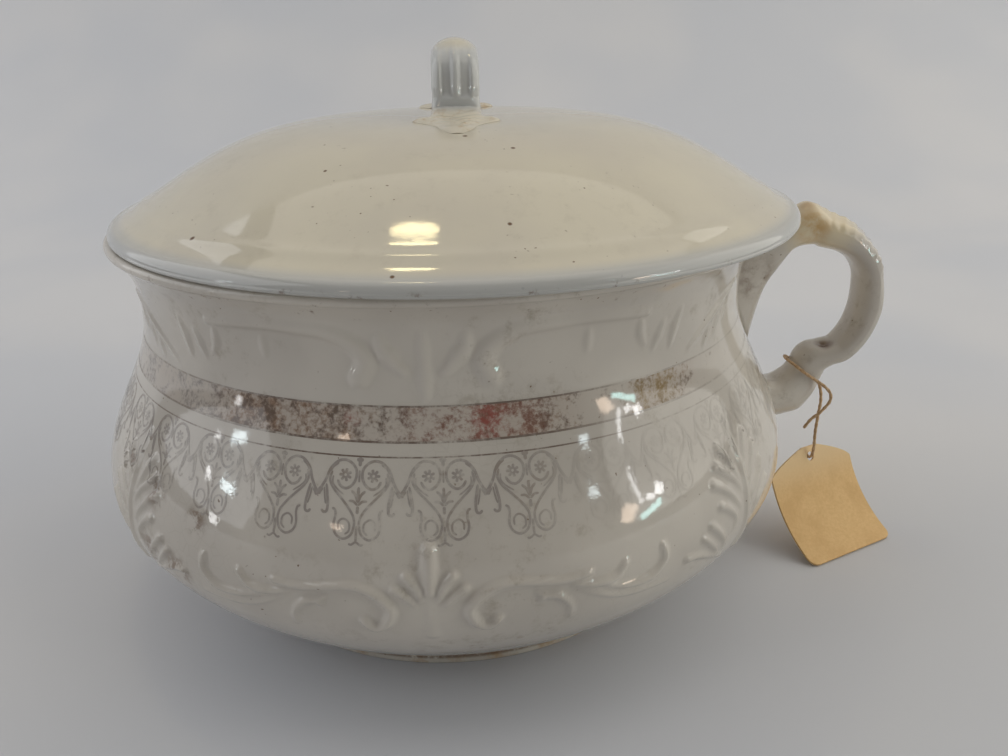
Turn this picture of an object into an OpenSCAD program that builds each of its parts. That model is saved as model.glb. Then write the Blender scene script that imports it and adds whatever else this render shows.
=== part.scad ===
// Lidded chamber pot in white glazed earthenware, with an ear handle and a card tag on a string.
// Millimetres. The origin is the centre of the plane that the foot rests on, +Z is up,
// and the handle points along +X.

/* [Bowl] */
// Outer radius of the foot ring
foot_r = 82; // [76:0.5:88]
// Width of the foot ring's resting face
foot_w = 8; // [5:0.5:12]
// Height of the foot ring
foot_h = 5; // [4:0.5:7]
// Depth of the hollow under the base
foot_hollow = 3.5; // [2:0.5:4]
// Thickness of the base
base_t = 6; // [4:0.5:8]
// Radius of the belly at its widest
belly_r = 123.5; // [117:0.5:130]
// Height of the belly's widest point
belly_z = 53; // [48:0.5:58]
// Radius of the waist
waist_r = 105; // [101:0.5:108]
// Height of the waist
waist_z = 110; // [106:0.5:113]
// Outer radius of the lip
lip_r = 113; // [112:0.25:117]
// Radius of the lip's rounded edge
lip_round = 1.5; // [1.2:0.1:2]
// Height of the rim
rim_z = 134; // [131:0.5:140]
// Thickness of the bowl's wall
wall = 5.5; // [4:0.25:7]

/* [Relief] */
// Height of the moulded relief above the wall
relief_rise = 1.3; // [0.8:0.1:1.8]
// Turn of the middle of the front relief from the handle
relief_turn = -92.5; // [-100:0.5:-80]

/* [Lid] */
// Radius of the lid
lid_r = 117; // [115:0.5:121]
// Height of the lid's rounded edge
lid_edge = 4.4; // [3.4:0.1:6]
// Height of the dome above the lid's lower edge
lid_h = 33; // [26:0.2:40]
// Fullness of the dome, higher for a broader flat top
dome_fullness = 2.1; // [1.7:0.1:3]
// Thickness of the dome
lid_wall = 5; // [4:0.25:6.5]
// Depth of the locating flange under the lid
flange_h = 7; // [4:0.5:10]
// Thickness of the locating flange
flange_t = 5; // [3:0.5:7]
// Side play of the flange inside the mouth
seat_play = 7; // [6.5:0.25:9]
// Clearance between the lid and the rim
seat_gap = 0.3; // [0.2:0.05:0.6]
// How far the lid lies towards the handle
lid_shift = 6; // [0:0.5:6]

/* [Lid handle] */
// Height of the loop above the top of the dome
loop_h = 24.6; // [20:0.2:30]
// Length of the loop over its two limbs
loop_len = 50; // [44:0.5:58]
// Width of the loop's strap
loop_w = 15.4; // [12:0.2:18]
// Thickness of the loop's strap
loop_t = 7.6; // [6:0.2:9]
// Reach of each leaf end along the dome, past the limb
leaf_reach = 27; // [22:0.5:32]
// Width across each leaf end
leaf_w = 34; // [26:0.5:40]

/* [Handle] */
// Radius of the handle's outermost point
handle_reach = 165.8; // [158:0.2:174]
// Height of the strap's middle line at the top of the handle
handle_top = 124; // [121:0.25:125]
// Height of the middle of the lower root
handle_low = 58.8; // [56:0.2:61]
// Width of the strap
handle_w = 18; // [15:0.5:21]
// Thickness of the strap where it is thinnest
handle_t = 8.2; // [7:0.2:9]
// Radius of the round neck that the string goes round
string_neck = 7.2; // [6.4:0.1:7.4]
// Height of the upper root on the waist
root_up_h = 46; // [38:0.5:48]
// Height of the lower root on the belly
root_low_h = 21; // [17:0.5:23]
// Width of the upper root on the waist
root_up_w = 20.7; // [17:0.1:23]
// Width of the lower root on the belly
root_low_w = 19.8; // [17:0.1:22]
// Clearance between the roots and the bowl, filled with slip
root_gap = 0.1; // [0.1:0.05:0.3]

/* [Tag] */
// Width of the card
tag_w = 44; // [38:0.5:48]
// Length of the card's straight upper part
tag_flat = 6; // [5:0.5:9]
// Radius of the bend in the card's lower part
tag_bend = 49; // [44:0.5:56]
// Thickness of the card
tag_t = 0.8; // [0.6:0.1:1.2]
// Diameter of the hole in the card
tag_hole = 3.8; // [3.4:0.1:4.4]
// Distance of the hole from the card's top edge
tag_hole_in = 4.2; // [3.8:0.1:5]
// Width of each clipped upper corner
tag_clip_w = 18; // [10:0.5:19]
// Height of each clipped upper corner
tag_clip_h = 9; // [6:0.5:12]
// Diameter of the string
string_d = 1.3; // [1:0.1:1.6]

/* [Hidden] */
$fn = 96;

glaze = [0.85, 0.85, 0.82];
warm_glaze = [0.83, 0.81, 0.75];
twine = [0.55, 0.40, 0.24];
card = [0.78, 0.60, 0.36];

// Shared helpers: smooth curves through stations and tubes made of rings

// Value on the smooth curve through four stations, at u from 0 to 1 between the middle two
function blend4(a, b, c, d, u) =
    0.5 * (2 * b + (c - a) * u + (2 * a - 5 * b + 4 * c - d) * u * u + (3 * b - a - 3 * c + d) * u * u * u);

// Stations p with n steps between each two of them
function smooth(p, n) = let (last = len(p) - 1) [
    for (i = [0 : last - 1], k = [0 : (i == last - 1 ? n : n - 1)])
        blend4(p[max(i - 1, 0)], p[i], p[i + 1], p[min(i + 2, last)], k / n)
];

function unit(v) = v / norm(v);

// Direction of the row of points p at point i, from its first two or three coordinates
function heading(p, i) = unit(p[min(i + 1, len(p) - 1)] - p[max(i - 1, 0)]);

function power_of(v, q) = sign(v) * pow(abs(v), q);

// Triangles between rings of n points each, with a fan on a middle point at each end
function tube_faces(rings, n) = let (first_mid = rings * n, last_mid = rings * n + 1) concat(
    [for (i = [0 : rings - 2], k = [0 : n - 1]) [i * n + k, i * n + (k + 1) % n, (i + 1) * n + k]],
    [for (i = [0 : rings - 2], k = [0 : n - 1])
        [i * n + (k + 1) % n, (i + 1) * n + (k + 1) % n, (i + 1) * n + k]],
    [for (k = [0 : n - 1]) [first_mid, (k + 1) % n, k]],
    [for (k = [0 : n - 1]) [last_mid, (rings - 1) * n + k, (rings - 1) * n + (k + 1) % n]]
);

function middle(ring) = [for (j = [0 : 2]) [for (p = ring) p[j]] * [for (p = ring) 1] / len(ring)];

module tube(rings, first_mid, last_mid) {
    points = concat([for (r = rings) each r], [first_mid, last_mid]);
    polyhedron(points, tube_faces(len(rings), len(rings[0])));
}

// Bowl: outer and inner curves as radius for a height

bands = 16;
foot_step = 1.2;
foot_ease = 0.8;
hollow_slant = 2;
lip_flat = 3.5;
nib = 0.05;
lip_z = rim_z - 2 * lip_round;
floor_z = foot_hollow + base_t;
floor_r = foot_r - wall;
lip_flat_r = lip_r - lip_round - lip_flat;

function lower_r(z) =
    foot_r + foot_step
    + (belly_r - foot_r - foot_step) * sin(90 * (z - foot_h) / (belly_z - foot_h));
function waist_curve(z) =
    waist_r + (belly_r - waist_r) * (1 + cos(180 * (z - belly_z) / (waist_z - belly_z))) / 2;
function flare_r(z) =
    waist_r + (lip_r - lip_round - waist_r) * pow((z - waist_z) / (lip_z - waist_z), 3);
function outer_r(z) = z < belly_z ? lower_r(z) : z < waist_z ? waist_curve(z) : flare_r(z);

// Wall measured square to the surface, so it is wider across where the surface leans
function slope(z) = (outer_r(z + nib) - outer_r(z - nib)) / (2 * nib);
function inner_r(z) = z < belly_z
    ? floor_r + (belly_r - wall - floor_r) * sin(90 * (z - floor_z) / (belly_z - floor_z))
    : outer_r(z) - wall * sqrt(1 + pow(slope(z), 2));

function steps(a, b, n) = [for (i = [0 : n]) i == n ? b : a + (b - a) * i / n];

module bowl_profile() {
    foot = [
        [0, foot_hollow], [foot_r - foot_w - hollow_slant, foot_hollow],
        [foot_r - foot_w, foot_ease], [foot_r - foot_w + foot_ease, 0],
        [foot_r - foot_ease, 0], [foot_r, foot_ease],
        [foot_r, foot_h - 2 * foot_ease], [foot_r - foot_ease, foot_h - foot_ease]
    ];
    outside = concat(
        [for (z = steps(foot_h, belly_z, bands)) [lower_r(z), z]],
        [for (i = [1 : bands]) let (z = belly_z + (waist_z - belly_z) * i / bands) [waist_curve(z), z]],
        [for (i = [1 : bands / 2]) let (z = waist_z + (lip_z - waist_z) * i * 2 / bands) [flare_r(z), z]]
    );
    lip = [for (a = [-60 : 30 : 90])
        [lip_r - lip_round + lip_round * cos(a), rim_z - lip_round + lip_round * sin(a)]];
    mouth = [for (a = [90 : -22.5 : 0])
        [inner_r(lip_z) + (lip_flat_r - inner_r(lip_z)) * (1 - cos(a)), lip_z + (rim_z - lip_z) * sin(a)]];
    inside = concat(
        [for (i = [1 : bands / 2]) let (z = lip_z + (waist_z - lip_z) * i * 2 / bands) [inner_r(z), z]],
        [for (i = [1 : bands]) let (z = waist_z + (belly_z - waist_z) * i / bands) [inner_r(z), z]],
        [for (i = [1 : bands]) let (z = belly_z + (floor_z - belly_z) * i / bands) [inner_r(z), z]]
    );
    polygon(concat(foot, outside, lip, mouth, inside, [[0, floor_z]]));
}

// Relief: ridges along the wall, each through stations of degrees from the middle of its side,
// height above the belly or the waist, and half width. The ridges of one half are mirrored,
// and the back repeats the front.

relief_sink = 0.7;
relief_crest = 0.6;
relief_shoulder = 0.8;
relief_steps = 2;

palmette = [
    [[0, -8, 1.6], [0, 1, 1.3], [0, 8, 1.8], [0, 13.4, 2.6], [0, 16.9, 0.8]]
];
palmette_side = [
    [[0.9, 3.2, 0.8], [1.8, 7.4, 1.5], [2.7, 10.4, 0.7]],
    [[1.6, 1.2, 0.8], [2.9, 4.4, 1.5], [3.9, 6.8, 0.7]]
];
scroll = [
    [
        [8.2, -4.9, 1.2], [7.2, -7.3, 1.3], [5.8, -6.2, 1.4], [5, -3.2, 1.5], [4.8, -0.7, 1.6],
        [5.9, 2.3, 1.6], [7.7, 4.7, 1.6], [10.2, 5.6, 1.6], [13.7, 4.6, 1.5], [17, 3.8, 1.3], [20.2, 4.4, 0.7]
    ],
    [[13.2, 1.8, 0.7], [16, -0.6, 1.4], [17.6, -4.7, 1.4], [17.9, -10, 0.6]],
    [[18, 2.4, 0.7], [21, 0.9, 1.4], [23.9, 1.5, 1.5], [25.4, 5.3, 0.7]],
    [[22.5, -0.6, 0.7], [25.8, -2.6, 1.4], [29.4, -2.2, 1.6], [31.6, 1.6, 1.5], [31.4, 6.3, 0.7]]
];
acanthus = [
    [[50.2, -12, 1.6], [50.4, 0, 2], [50.2, 14, 1.9], [49.2, 31, 0.7]],
    [[45.3, -10.3, 0.8], [41, -6, 1.6], [35.9, -2.4, 0.6]],
    [[44.7, -6.8, 0.8], [44, -2.9, 1.6], [42.2, 1.8, 1.5], [40.7, 4.6, 0.6]],
    [[46.6, -2, 0.8], [47, 1.9, 1.6], [45, 6.4, 1.5], [43.1, 8.8, 0.6]],
    [[48.4, 4.6, 0.8], [46.6, 9.2, 1.6], [42.3, 15.7, 0.6]],
    [[49.3, 9.3, 0.8], [47.5, 13.7, 1.5], [43.6, 20, 0.6]],
    [[49.3, 11.9, 0.8], [47.8, 17, 1.4], [45.4, 24.4, 0.6]],
    [[51, 2.6, 0.8], [53.8, 8, 1.5], [56.6, 13.2, 0.6]],
    [[50.8, 8.4, 0.8], [53, 14, 1.4], [55.2, 19.2, 0.6]],
    [[50.4, 13.8, 0.8], [51.8, 19, 1.3], [53.5, 24.2, 0.6]]
];
neck = [[[0, -4.8, 0.8], [0, -0.3, 1.6], [0, 4.3, 1.1], [0, 8.1, 1.3], [0, 13.2, 0.6]]];
neck_side = [
    [[2.9, 1.9, 0.8], [4.4, 5.2, 1.6], [5.7, 8.6, 1.5], [5.9, 11.8, 0.7]],
    [
        [9.4, 0, 1.9], [8.3, 4, 1.5], [9, 7.6, 1.5], [10.8, 10.6, 1.5], [13.8, 12.9, 1.4],
        [18, 13.4, 1.3], [24, 13.4, 1.1], [34, 11.6, 0.7]
    ],
    [[34.4, 2.2, 0.7], [33.5, 5.6, 1.3], [33.4, 9, 0.6]],
    [[36.4, 0.2, 0.7], [37.4, 3.4, 1.3], [38.4, 7, 0.6]],
    [[40.3, -0.5, 0.7], [41, 4, 1.4], [42.2, 9.2, 0.6]],
    [[45, -4, 0.6], [51, 1.5, 1.5], [57, 6.2, 1.5], [62, 9.6, 0.8]]
];

function wall_at(a, z) = [outer_r(z) * cos(a), outer_r(z) * sin(a), z];
function wall_out(a, z) = unit([cos(a), sin(a), -slope(z)]);

// Cross-section of a ridge, from one edge over the crest to the other, as shares of its half width and height
function ridge_section(w, h) = [
    [w, -relief_sink], [w * relief_crest, h * relief_shoulder], [0, h],
    [-w * relief_crest, h * relief_shoulder], [-w, -relief_sink]
];

module ridge(stations, turn, side, from_z) {
    line = [for (s = smooth(stations, relief_steps)) [turn + side * s[0], from_z + s[1], s[2]]];
    path = [for (s = line) wall_at(s[0], s[1])];
    rings = [for (i = [0 : len(line) - 1]) let (
        out = wall_out(line[i][0], line[i][1]),
        across = unit(cross(heading(path, i), out))
    ) [for (q = ridge_section(line[i][2], relief_rise)) path[i] + across * q[0] + out * q[1]]];
    tube(rings, middle(rings[0]), middle(rings[len(rings) - 1]));
}

module relief_side(turn) {
    for (s = palmette) ridge(s, turn, 1, belly_z);
    for (s = neck) ridge(s, turn, 1, waist_z);
    for (side = [-1, 1]) {
        for (s = concat(palmette_side, scroll, acanthus)) ridge(s, turn, side, belly_z);
        for (s = neck_side) ridge(s, turn, side, waist_z);
    }
}

module pot_body() {
    color(glaze) {
        rotate_extrude() bowl_profile();
        for (turn = [relief_turn, relief_turn + 180]) relief_side(turn);
    }
}

// Ear handle: a strap swept round its middle line in the XZ plane, from the waist to the belly

handle_sides = 20;
handle_steps = 3;
strap = handle_t / 2;

// Stations of the middle line: share of the reach past the waist, share of the height between the two roots,
// thickness outside and inside the line, and half width. The third is the leaf tip of the thumb rest,
// the twelfth is the knuckle where the strap ends in a scroll, and the fourteenth is the neck for the string.
thumb_rise = 9.6;
ear = [
    [0.195, 0.893, 5.6, 12.6, handle_w * 0.53],
    [0.37, 0.969, 5.0, 6.4, handle_w * 0.50],
    [0.52, 1.00, thumb_rise, 6.0, handle_w * 0.48],
    [0.63, 1.00, 6.2, 6.0, handle_w * 0.53],
    [0.77, 0.959, strap * 1.36, strap * 1.22, handle_w * 0.54],
    [0.893, 0.867, strap * 1.26, strap * 1.1, handle_w * 0.52],
    [0.972, 0.765, strap * 1.12, strap, handle_w * 0.5],
    [1.00, 0.655, strap, strap, handle_w * 0.5],
    [0.993, 0.509, strap, strap, handle_w * 0.5],
    [0.936, 0.371, strap, strap, handle_w * 0.5],
    [0.84, 0.268, strap * 1.1, strap * 1.15, handle_w * 0.48],
    [0.744, 0.236, strap * 1.2, strap * 2.2, handle_w * 0.45],
    [0.663, 0.199, string_neck * 0.85, string_neck * 1.2, string_neck * 1.05],
    [0.61, 0.13, string_neck, string_neck, string_neck],
    [0.556, 0.065, string_neck * 1.12, string_neck * 1.08, string_neck * 1.08],
    [0.467, 0.0, string_neck * 1.25, string_neck * 1.2, string_neck * 1.25]
];
handle_line = [for (s = smooth(ear, handle_steps)) [
    waist_r + s[0] * (handle_reach - strap - waist_r),
    handle_low + s[1] * (handle_top - handle_low),
    s[2], s[3], s[4]
]];
handle_mid = [for (s = handle_line) [s[0], s[1]]];

// One ring of the strap, crowned outside and flatter inside
strap_flat = 0.75;
strap_side = 0.85;
function strap_ring(i) = let (s = handle_line[i], t = heading(handle_mid, i), out = [-t[1], t[0]])
    [for (k = [0 : handle_sides - 1]) let (
        a = 360 * k / handle_sides,
        n = sin(a) > 0 ? s[2] * sin(a) : s[3] * power_of(sin(a), strap_flat),
        p = handle_mid[i] + out * n
    ) [p[0], s[4] * power_of(cos(a), strap_side), p[1]]];

// Point just off the bowl's surface at a height z and a distance y to the side
function on_bowl(y, z) = [sqrt(pow(outer_r(z) + root_gap, 2) - y * y), y, z];

// Footprint of a root on the bowl, h high and w wide, with its points in the same order as a strap ring's
function footprint(z, h, w, up) = [for (k = [0 : handle_sides - 1]) let (a = 360 * k / handle_sides)
    on_bowl(w / 2 * cos(a), z + up * h / 2 * sin(a))];

// Smaller footprints inside it, so that the root's hidden face follows the bowl too
sole_steps = 4;
function sole(z, h, w, up) = [for (i = [sole_steps - 1 : -1 : 1])
    footprint(z, h * i / sole_steps, w * i / sole_steps, up)];
function reversed(p) = [for (i = [len(p) - 1 : -1 : 0]) p[i]];

// Rings that flare from a strap ring out to its footprint
flare_steps = 4;
function flare(ring, foot, s) = [for (k = [0 : len(ring) - 1]) let (d = foot[k] - ring[k])
    [ring[k][0] + d[0] * s, ring[k][1] + d[1] * s * s, ring[k][2] + d[2] * s * s]];

root_up_drop = 8;
root_low_drop = 1.8;
root_up_z = waist_z - root_up_drop;
root_low_z = handle_low - root_low_drop;
root_up_foot = footprint(root_up_z, root_up_h, root_up_w, 1);
root_low_foot = footprint(root_low_z, root_low_h, root_low_w, -1);

module handle() {
    last = len(handle_line) - 1;
    rings = concat(
        reversed(sole(root_low_z, root_low_h, root_low_w, -1)),
        [for (i = [flare_steps : -1 : 1]) flare(strap_ring(last), root_low_foot, i / flare_steps)],
        [for (i = [last : -1 : 0]) strap_ring(i)],
        [for (i = [1 : flare_steps]) flare(strap_ring(0), root_up_foot, i / flare_steps)],
        sole(root_up_z, root_up_h, root_up_w, 1)
    );
    color(glaze) tube(rings, on_bowl(0, root_low_z), on_bowl(0, root_up_z));
}

// Lid: dome, rounded edge, flat rest and locating flange, with its lower edge at height zero

dome_bands = 24;
edge_round = 3.2;
edge_ease = 1.2;
flange_ease = 1;
dome_turn = 135;
dome_r = lid_r - edge_round;
lid_z = rim_z + seat_gap;
flange_r = inner_r(lid_z - flange_h) - seat_play;

// The dome follows a cosine that stops short of a half turn, so it still slopes where it meets the edge
function dome_share(r) =
    (cos(dome_turn * pow(min(r / dome_r, 1), dome_fullness)) - cos(dome_turn)) / (1 - cos(dome_turn));
function dome_z(r) = lid_edge + (lid_h - lid_edge) * dome_share(r);
function dome_slope(r) = (dome_z(r + nib) - dome_z(abs(r - nib))) / (2 * nib);
function under_z(r) = dome_z(r) - lid_wall * sqrt(1 + pow(dome_slope(r), 2));

module lid_profile() {
    top = [for (r = steps(0, dome_r, dome_bands)) [r, dome_z(r)]];
    edge = [for (a = [60 : -30 : 0])
        [dome_r + edge_round * cos(a), lid_edge - edge_round + edge_round * sin(a)]];
    rest = [
        [lid_r, edge_ease], [lid_r - edge_ease * 0.3, edge_ease * 0.3],
        [lid_r - edge_ease, 0], [flange_r, 0]
    ];
    flange = [
        [flange_r, flange_ease - flange_h], [flange_r - flange_ease, -flange_h],
        [flange_r - flange_t + flange_ease, -flange_h], [flange_r - flange_t, flange_ease - flange_h]
    ];
    under = [for (r = steps(flange_r - flange_t, 0, dome_bands)) [r, under_z(r)]];
    polygon(concat(top, edge, rest, flange, under));
}

module lid() {
    color(warm_glaze) translate([lid_shift, 0, lid_z]) rotate_extrude() lid_profile();
}

// Loop handle on the lid: a strap swept in the YZ plane, with a leaf end that lies on the dome at each side

loop_sides = 16;
loop_steps = 3;
limb = loop_len / 2 - loop_t / 2;
loop_mid_h = loop_h - loop_t * 0.6;
leaf_tip = loop_len / 2 + leaf_reach;
leaf_t = 1.2;

// Stations of the front half: place along Y, height above the dome's top, thickness outside and inside,
// and half width
front_half = [
    [-leaf_tip, -2.6, 1.0, 0.8, leaf_w * 0.05],
    [-leaf_tip + leaf_reach * 0.16, -2.1, 1.9, 1.2, leaf_w * 0.21],
    [-leaf_tip + leaf_reach * 0.40, -1.5, 2.6, 1.6, leaf_w * 0.30],
    [-leaf_tip + leaf_reach * 0.62, -1.0, 2.6, 2.0, leaf_w * 0.38],
    [-leaf_tip + leaf_reach * 0.84, -0.2, 2.8, 2.6, leaf_w * 0.50],
    [-limb - 2.4, 2.0, 2.8, 3.4, leaf_w * 0.36],
    [-limb - 0.4, 5.6, 3.6, 3.6, loop_w * 0.53],
    [-limb, loop_mid_h * 0.50, loop_t * 0.52, loop_t * 0.48, loop_w * 0.5],
    [-limb * 0.90, loop_mid_h * 0.78, loop_t * 0.54, loop_t * 0.46, loop_w * 0.5],
    [-limb * 0.56, loop_mid_h * 0.96, loop_t * 0.57, loop_t * 0.43, loop_w * 0.5],
    [0, loop_mid_h, loop_t * 0.6, loop_t * 0.4, loop_w * 0.5]
];
turned = [-1, 1, 1, 1, 1];
back_half = [for (i = [len(front_half) - 2 : -1 : 0]) [for (j = [0 : 4]) front_half[i][j] * turned[j]]];
loop_line = smooth(concat(front_half, back_half), loop_steps);
loop_mid = [for (s = loop_line) [s[0], s[1]]];

// One ring of the loop, with its underside kept above the dome and its top above that by the leaf's thickness
leaf_gap = 0.05;
loop_crown = 0.9;
loop_flat = 0.7;
loop_side = 0.8;
function loop_ring(i) = let (s = loop_line[i], t = heading(loop_mid, i), out = [-t[1], t[0]])
    [for (k = [0 : loop_sides - 1]) let (
        a = 360 * k / loop_sides,
        n = sin(a) > 0 ? s[2] * power_of(sin(a), loop_crown) : s[3] * power_of(sin(a), loop_flat),
        p = loop_mid[i] + out * n,
        x = s[4] * power_of(cos(a), loop_side),
        seat = dome_z(norm([x, p[0]])) + leaf_gap
    ) [x, p[0], max(lid_h + p[1], seat + leaf_t * max(sin(a), 0))]];

module lid_handle() {
    rings = [for (i = [0 : len(loop_line) - 1]) loop_ring(i)];
    color(warm_glaze) translate([lid_shift, 0, lid_z])
        tube(rings, middle(rings[0]), middle(rings[len(rings) - 1]));
}

// String: once round the handle's neck, a small loose loop and end, then down to the card

string_route = [
    [139.5, -8, 45.5], [141.5, -9, 49.5], [144.5, -10, 53], [147.5, -10, 57], [147.5, -10, 60.5],
    [145, -9.5, 63.5], [142, -8, 65.5], [137, -8, 69], [133.5, -4.5, 71.5], [132.5, 0, 72],
    [133.5, 4.5, 71.5], [137, 8, 69], [142, 8, 65.5], [145, 5.5, 63.5], [146.5, 2, 62], [147, -1.5, 59.5],
    [146.5, -4.5, 55.5], [145.5, -6, 50], [145, -6.5, 43], [145, -7, 36.5], [145, -6, 32],
    [144.5, -4, 30.5], [144, -2, 31.5]
];
string_sides = 8;
string_start_side = [0.3, 0.9, -0.3];

// Turns a ring's first direction along the route, so that the string doesn't twist
function carried(side, t) = unit(side - t * (side * t));
function sides_along(p, i, side) = i == len(p) ? [] : let (s = carried(side, heading(p, i)))
    concat([s], sides_along(p, i + 1, s));

module tag_string() {
    line = smooth(string_route, 2);
    side = sides_along(line, 0, string_start_side);
    rings = [for (i = [0 : len(line) - 1]) let (b = cross(heading(line, i), side[i]))
        [for (k = [0 : string_sides - 1]) let (a = -360 * k / string_sides)
            line[i] + string_d / 2 * (side[i] * cos(a) + b * sin(a))]];
    color(twine) tube(rings, line[0], line[len(line) - 1]);
}

// Card: straight at the top, bent forward below so that its lower edge lies on the table

tag_turn = 26;
tag_lean = 19;
tag_sweep = 47;
tag_rest = 0.4;
tag_foot_clip = 4;
tag_place = [144.7, -4.3];
tag_bend_steps = 14;

// Side view of the card: forward and down from its top edge, at a distance s along it and n off its face
function tag_side(s, n) = s <= tag_flat
    ? [s * sin(tag_lean) + n * cos(tag_lean), -s * cos(tag_lean) + n * sin(tag_lean)]
    : let (a = tag_lean + (s - tag_flat) / tag_bend * 180 / PI)
        [tag_flat * sin(tag_lean) + tag_bend * (cos(tag_lean) - cos(a)) + n * cos(a),
         -tag_flat * cos(tag_lean) - tag_bend * (sin(a) - sin(tag_lean)) + n * sin(a)];

tag_len = tag_flat + tag_bend * tag_sweep * PI / 180;
tag_top = tag_rest - min(tag_side(tag_len, 0)[1], tag_side(tag_len, tag_t)[1]);
tag_hole_side = tag_side(tag_hole_in, 0);

module tag_strip() {
    s = concat([0], steps(tag_flat, tag_len, tag_bend_steps));
    polygon(concat([for (v = s) tag_side(v, 0)], [for (i = [len(s) - 1 : -1 : 0]) tag_side(s[i], tag_t)]));
}

// Prism that cuts one corner off the card, w wide and h high, square to the view along Z
module tag_corner(w, h) {
    translate([0, 0, -tag_bend]) linear_extrude(2 * tag_bend) polygon([[h, 0], [0, -w], [-h, 0], [0, w]]);
}

module paper_tag() {
    color(card)
    translate([tag_place[0], tag_place[1], tag_top]) rotate([0, 0, tag_turn - 90])
    translate([-tag_hole_side[0], 0, 0])
    difference() {
        rotate([90, 0, 0]) linear_extrude(tag_w, center = true) tag_strip();
        rotate([0, 90 - tag_lean, 0]) {
            translate([tag_hole_in, 0, -tag_bend]) cylinder(d = tag_hole, h = 2 * tag_bend);
            for (end = [-1, 1]) translate([0, end * tag_w / 2, 0]) tag_corner(tag_clip_w, tag_clip_h);
        }
        for (end = [-1, 1])
            translate([tag_side(tag_len, 0)[0], end * tag_w / 2, -tag_top])
                tag_corner(tag_foot_clip, tag_foot_clip);
    }
}

pot_body();
handle();
lid();
lid_handle();
tag_string();
paper_tag();
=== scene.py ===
"""Dresses the lidded chamber pot: relief and worn print on the bowl, lid, both handles, string and card."""
import math

import bpy
import numpy as np
from mathutils import Matrix, Quaternion, Vector


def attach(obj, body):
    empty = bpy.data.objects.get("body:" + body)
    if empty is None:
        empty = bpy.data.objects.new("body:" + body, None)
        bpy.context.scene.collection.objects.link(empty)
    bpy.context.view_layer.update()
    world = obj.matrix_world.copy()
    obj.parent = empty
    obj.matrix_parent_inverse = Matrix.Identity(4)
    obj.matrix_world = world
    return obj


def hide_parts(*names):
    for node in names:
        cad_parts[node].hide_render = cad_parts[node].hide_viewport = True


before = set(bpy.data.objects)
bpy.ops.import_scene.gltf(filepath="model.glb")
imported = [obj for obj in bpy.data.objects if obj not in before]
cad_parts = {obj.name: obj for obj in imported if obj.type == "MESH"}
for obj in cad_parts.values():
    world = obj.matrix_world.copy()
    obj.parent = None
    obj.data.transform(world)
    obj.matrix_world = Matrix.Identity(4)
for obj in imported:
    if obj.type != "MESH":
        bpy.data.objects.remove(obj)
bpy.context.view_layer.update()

MM = 0.001

# Sizes of the bowl in millimetres, the same as in the part's source
FOOT_R = 82.0
FOOT_W = 8.0
FOOT_H = 5.0
FOOT_HOLLOW = 3.5
FOOT_STEP = 1.2
FOOT_EASE = 0.8
HOLLOW_SLANT = 2.0
BASE_T = 6.0
BELLY_R = 123.5
BELLY_Z = 53.0
WAIST_R = 105.0
WAIST_Z = 110.0
LIP_R = 113.0
LIP_ROUND = 1.5
LIP_FLAT = 3.5
RIM_Z = 134.0
LIP_Z = RIM_Z - 2 * LIP_ROUND
WALL = 5.5
FLOOR_Z = FOOT_HOLLOW + BASE_T
FLOOR_R = FOOT_R - WALL

# Sizes of the lid and of its loop
LID_R = 117.0
LID_EDGE = 4.4
LID_H = 33.0
DOME_FULLNESS = 2.1
DOME_TURN = math.radians(135)
EDGE_ROUND = 3.2
EDGE_EASE = 1.2
LID_WALL = 5.0
FLANGE_H = 7.0
FLANGE_T = 5.0
FLANGE_EASE = 1.0
SEAT_PLAY = 7.0
SEAT_GAP = 0.3
LID_SHIFT = 6.0
LID_Z = RIM_Z + SEAT_GAP
DOME_R = LID_R - EDGE_ROUND
LOOP_H = 24.6
LOOP_LEN = 50.0
LOOP_W = 15.4
LOOP_T = 7.6
LEAF_REACH = 27.0
LEAF_W = 34.0
LEAF_T = 1.2
LEAF_GAP = 0.05

# Sizes of the ear handle
HANDLE_REACH = 165.8
HANDLE_TOP = 124.0
HANDLE_LOW = 58.8
HANDLE_W = 18.0
HANDLE_T = 8.2
STRAP = HANDLE_T / 2
NECK = 7.2
THUMB_RISE = 9.6
ROOT_UP_DROP = 8.0
ROOT_LOW_DROP = 1.8

# Roots of the ear handle on the bowl: height of the middle, then height and width
ROOT_UP = (WAIST_Z - ROOT_UP_DROP, 46.0, 20.7)
ROOT_LOW = (HANDLE_LOW - ROOT_LOW_DROP, 21.0, 19.8)

# Sizes of the card and the string
TAG_W = 44.0
TAG_FLAT = 6.0
TAG_BEND = 49.0
TAG_T = 0.8
TAG_HOLE = 3.8
TAG_HOLE_IN = 4.2
TAG_CLIP_W = 18.0
TAG_CLIP_H = 9.0
TAG_CORNER = 3.5
TAG_TURN = math.radians(26)
TAG_LEAN = math.radians(19)
TAG_SWEEP = math.radians(47)
TAG_REST = 0.4
TAG_PLACE = (144.7, -4.3)
STRING_D = 1.3
STRING_ROUTE = [
    (139.5, -8, 45.5), (141.5, -9, 49.5), (144.5, -10, 53), (147.5, -10, 57), (147.5, -10, 60.5),
    (145, -9.5, 63.5), (142, -8, 65.5), (137, -8, 69), (133.5, -4.5, 71.5), (132.5, 0, 72),
    (133.5, 4.5, 71.5), (137, 8, 69), (142, 8, 65.5), (145, 5.5, 63.5), (146.5, 2, 62), (147, -1.5, 59.5),
    (146.5, -4.5, 55.5), (145.5, -6, 50), (145, -6.5, 43), (145, -7, 36.5), (145, -6, 32),
    (144.5, -4, 30.5), (144, -2, 31.5),
]


# Shared helpers

NIB = 0.05


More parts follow.
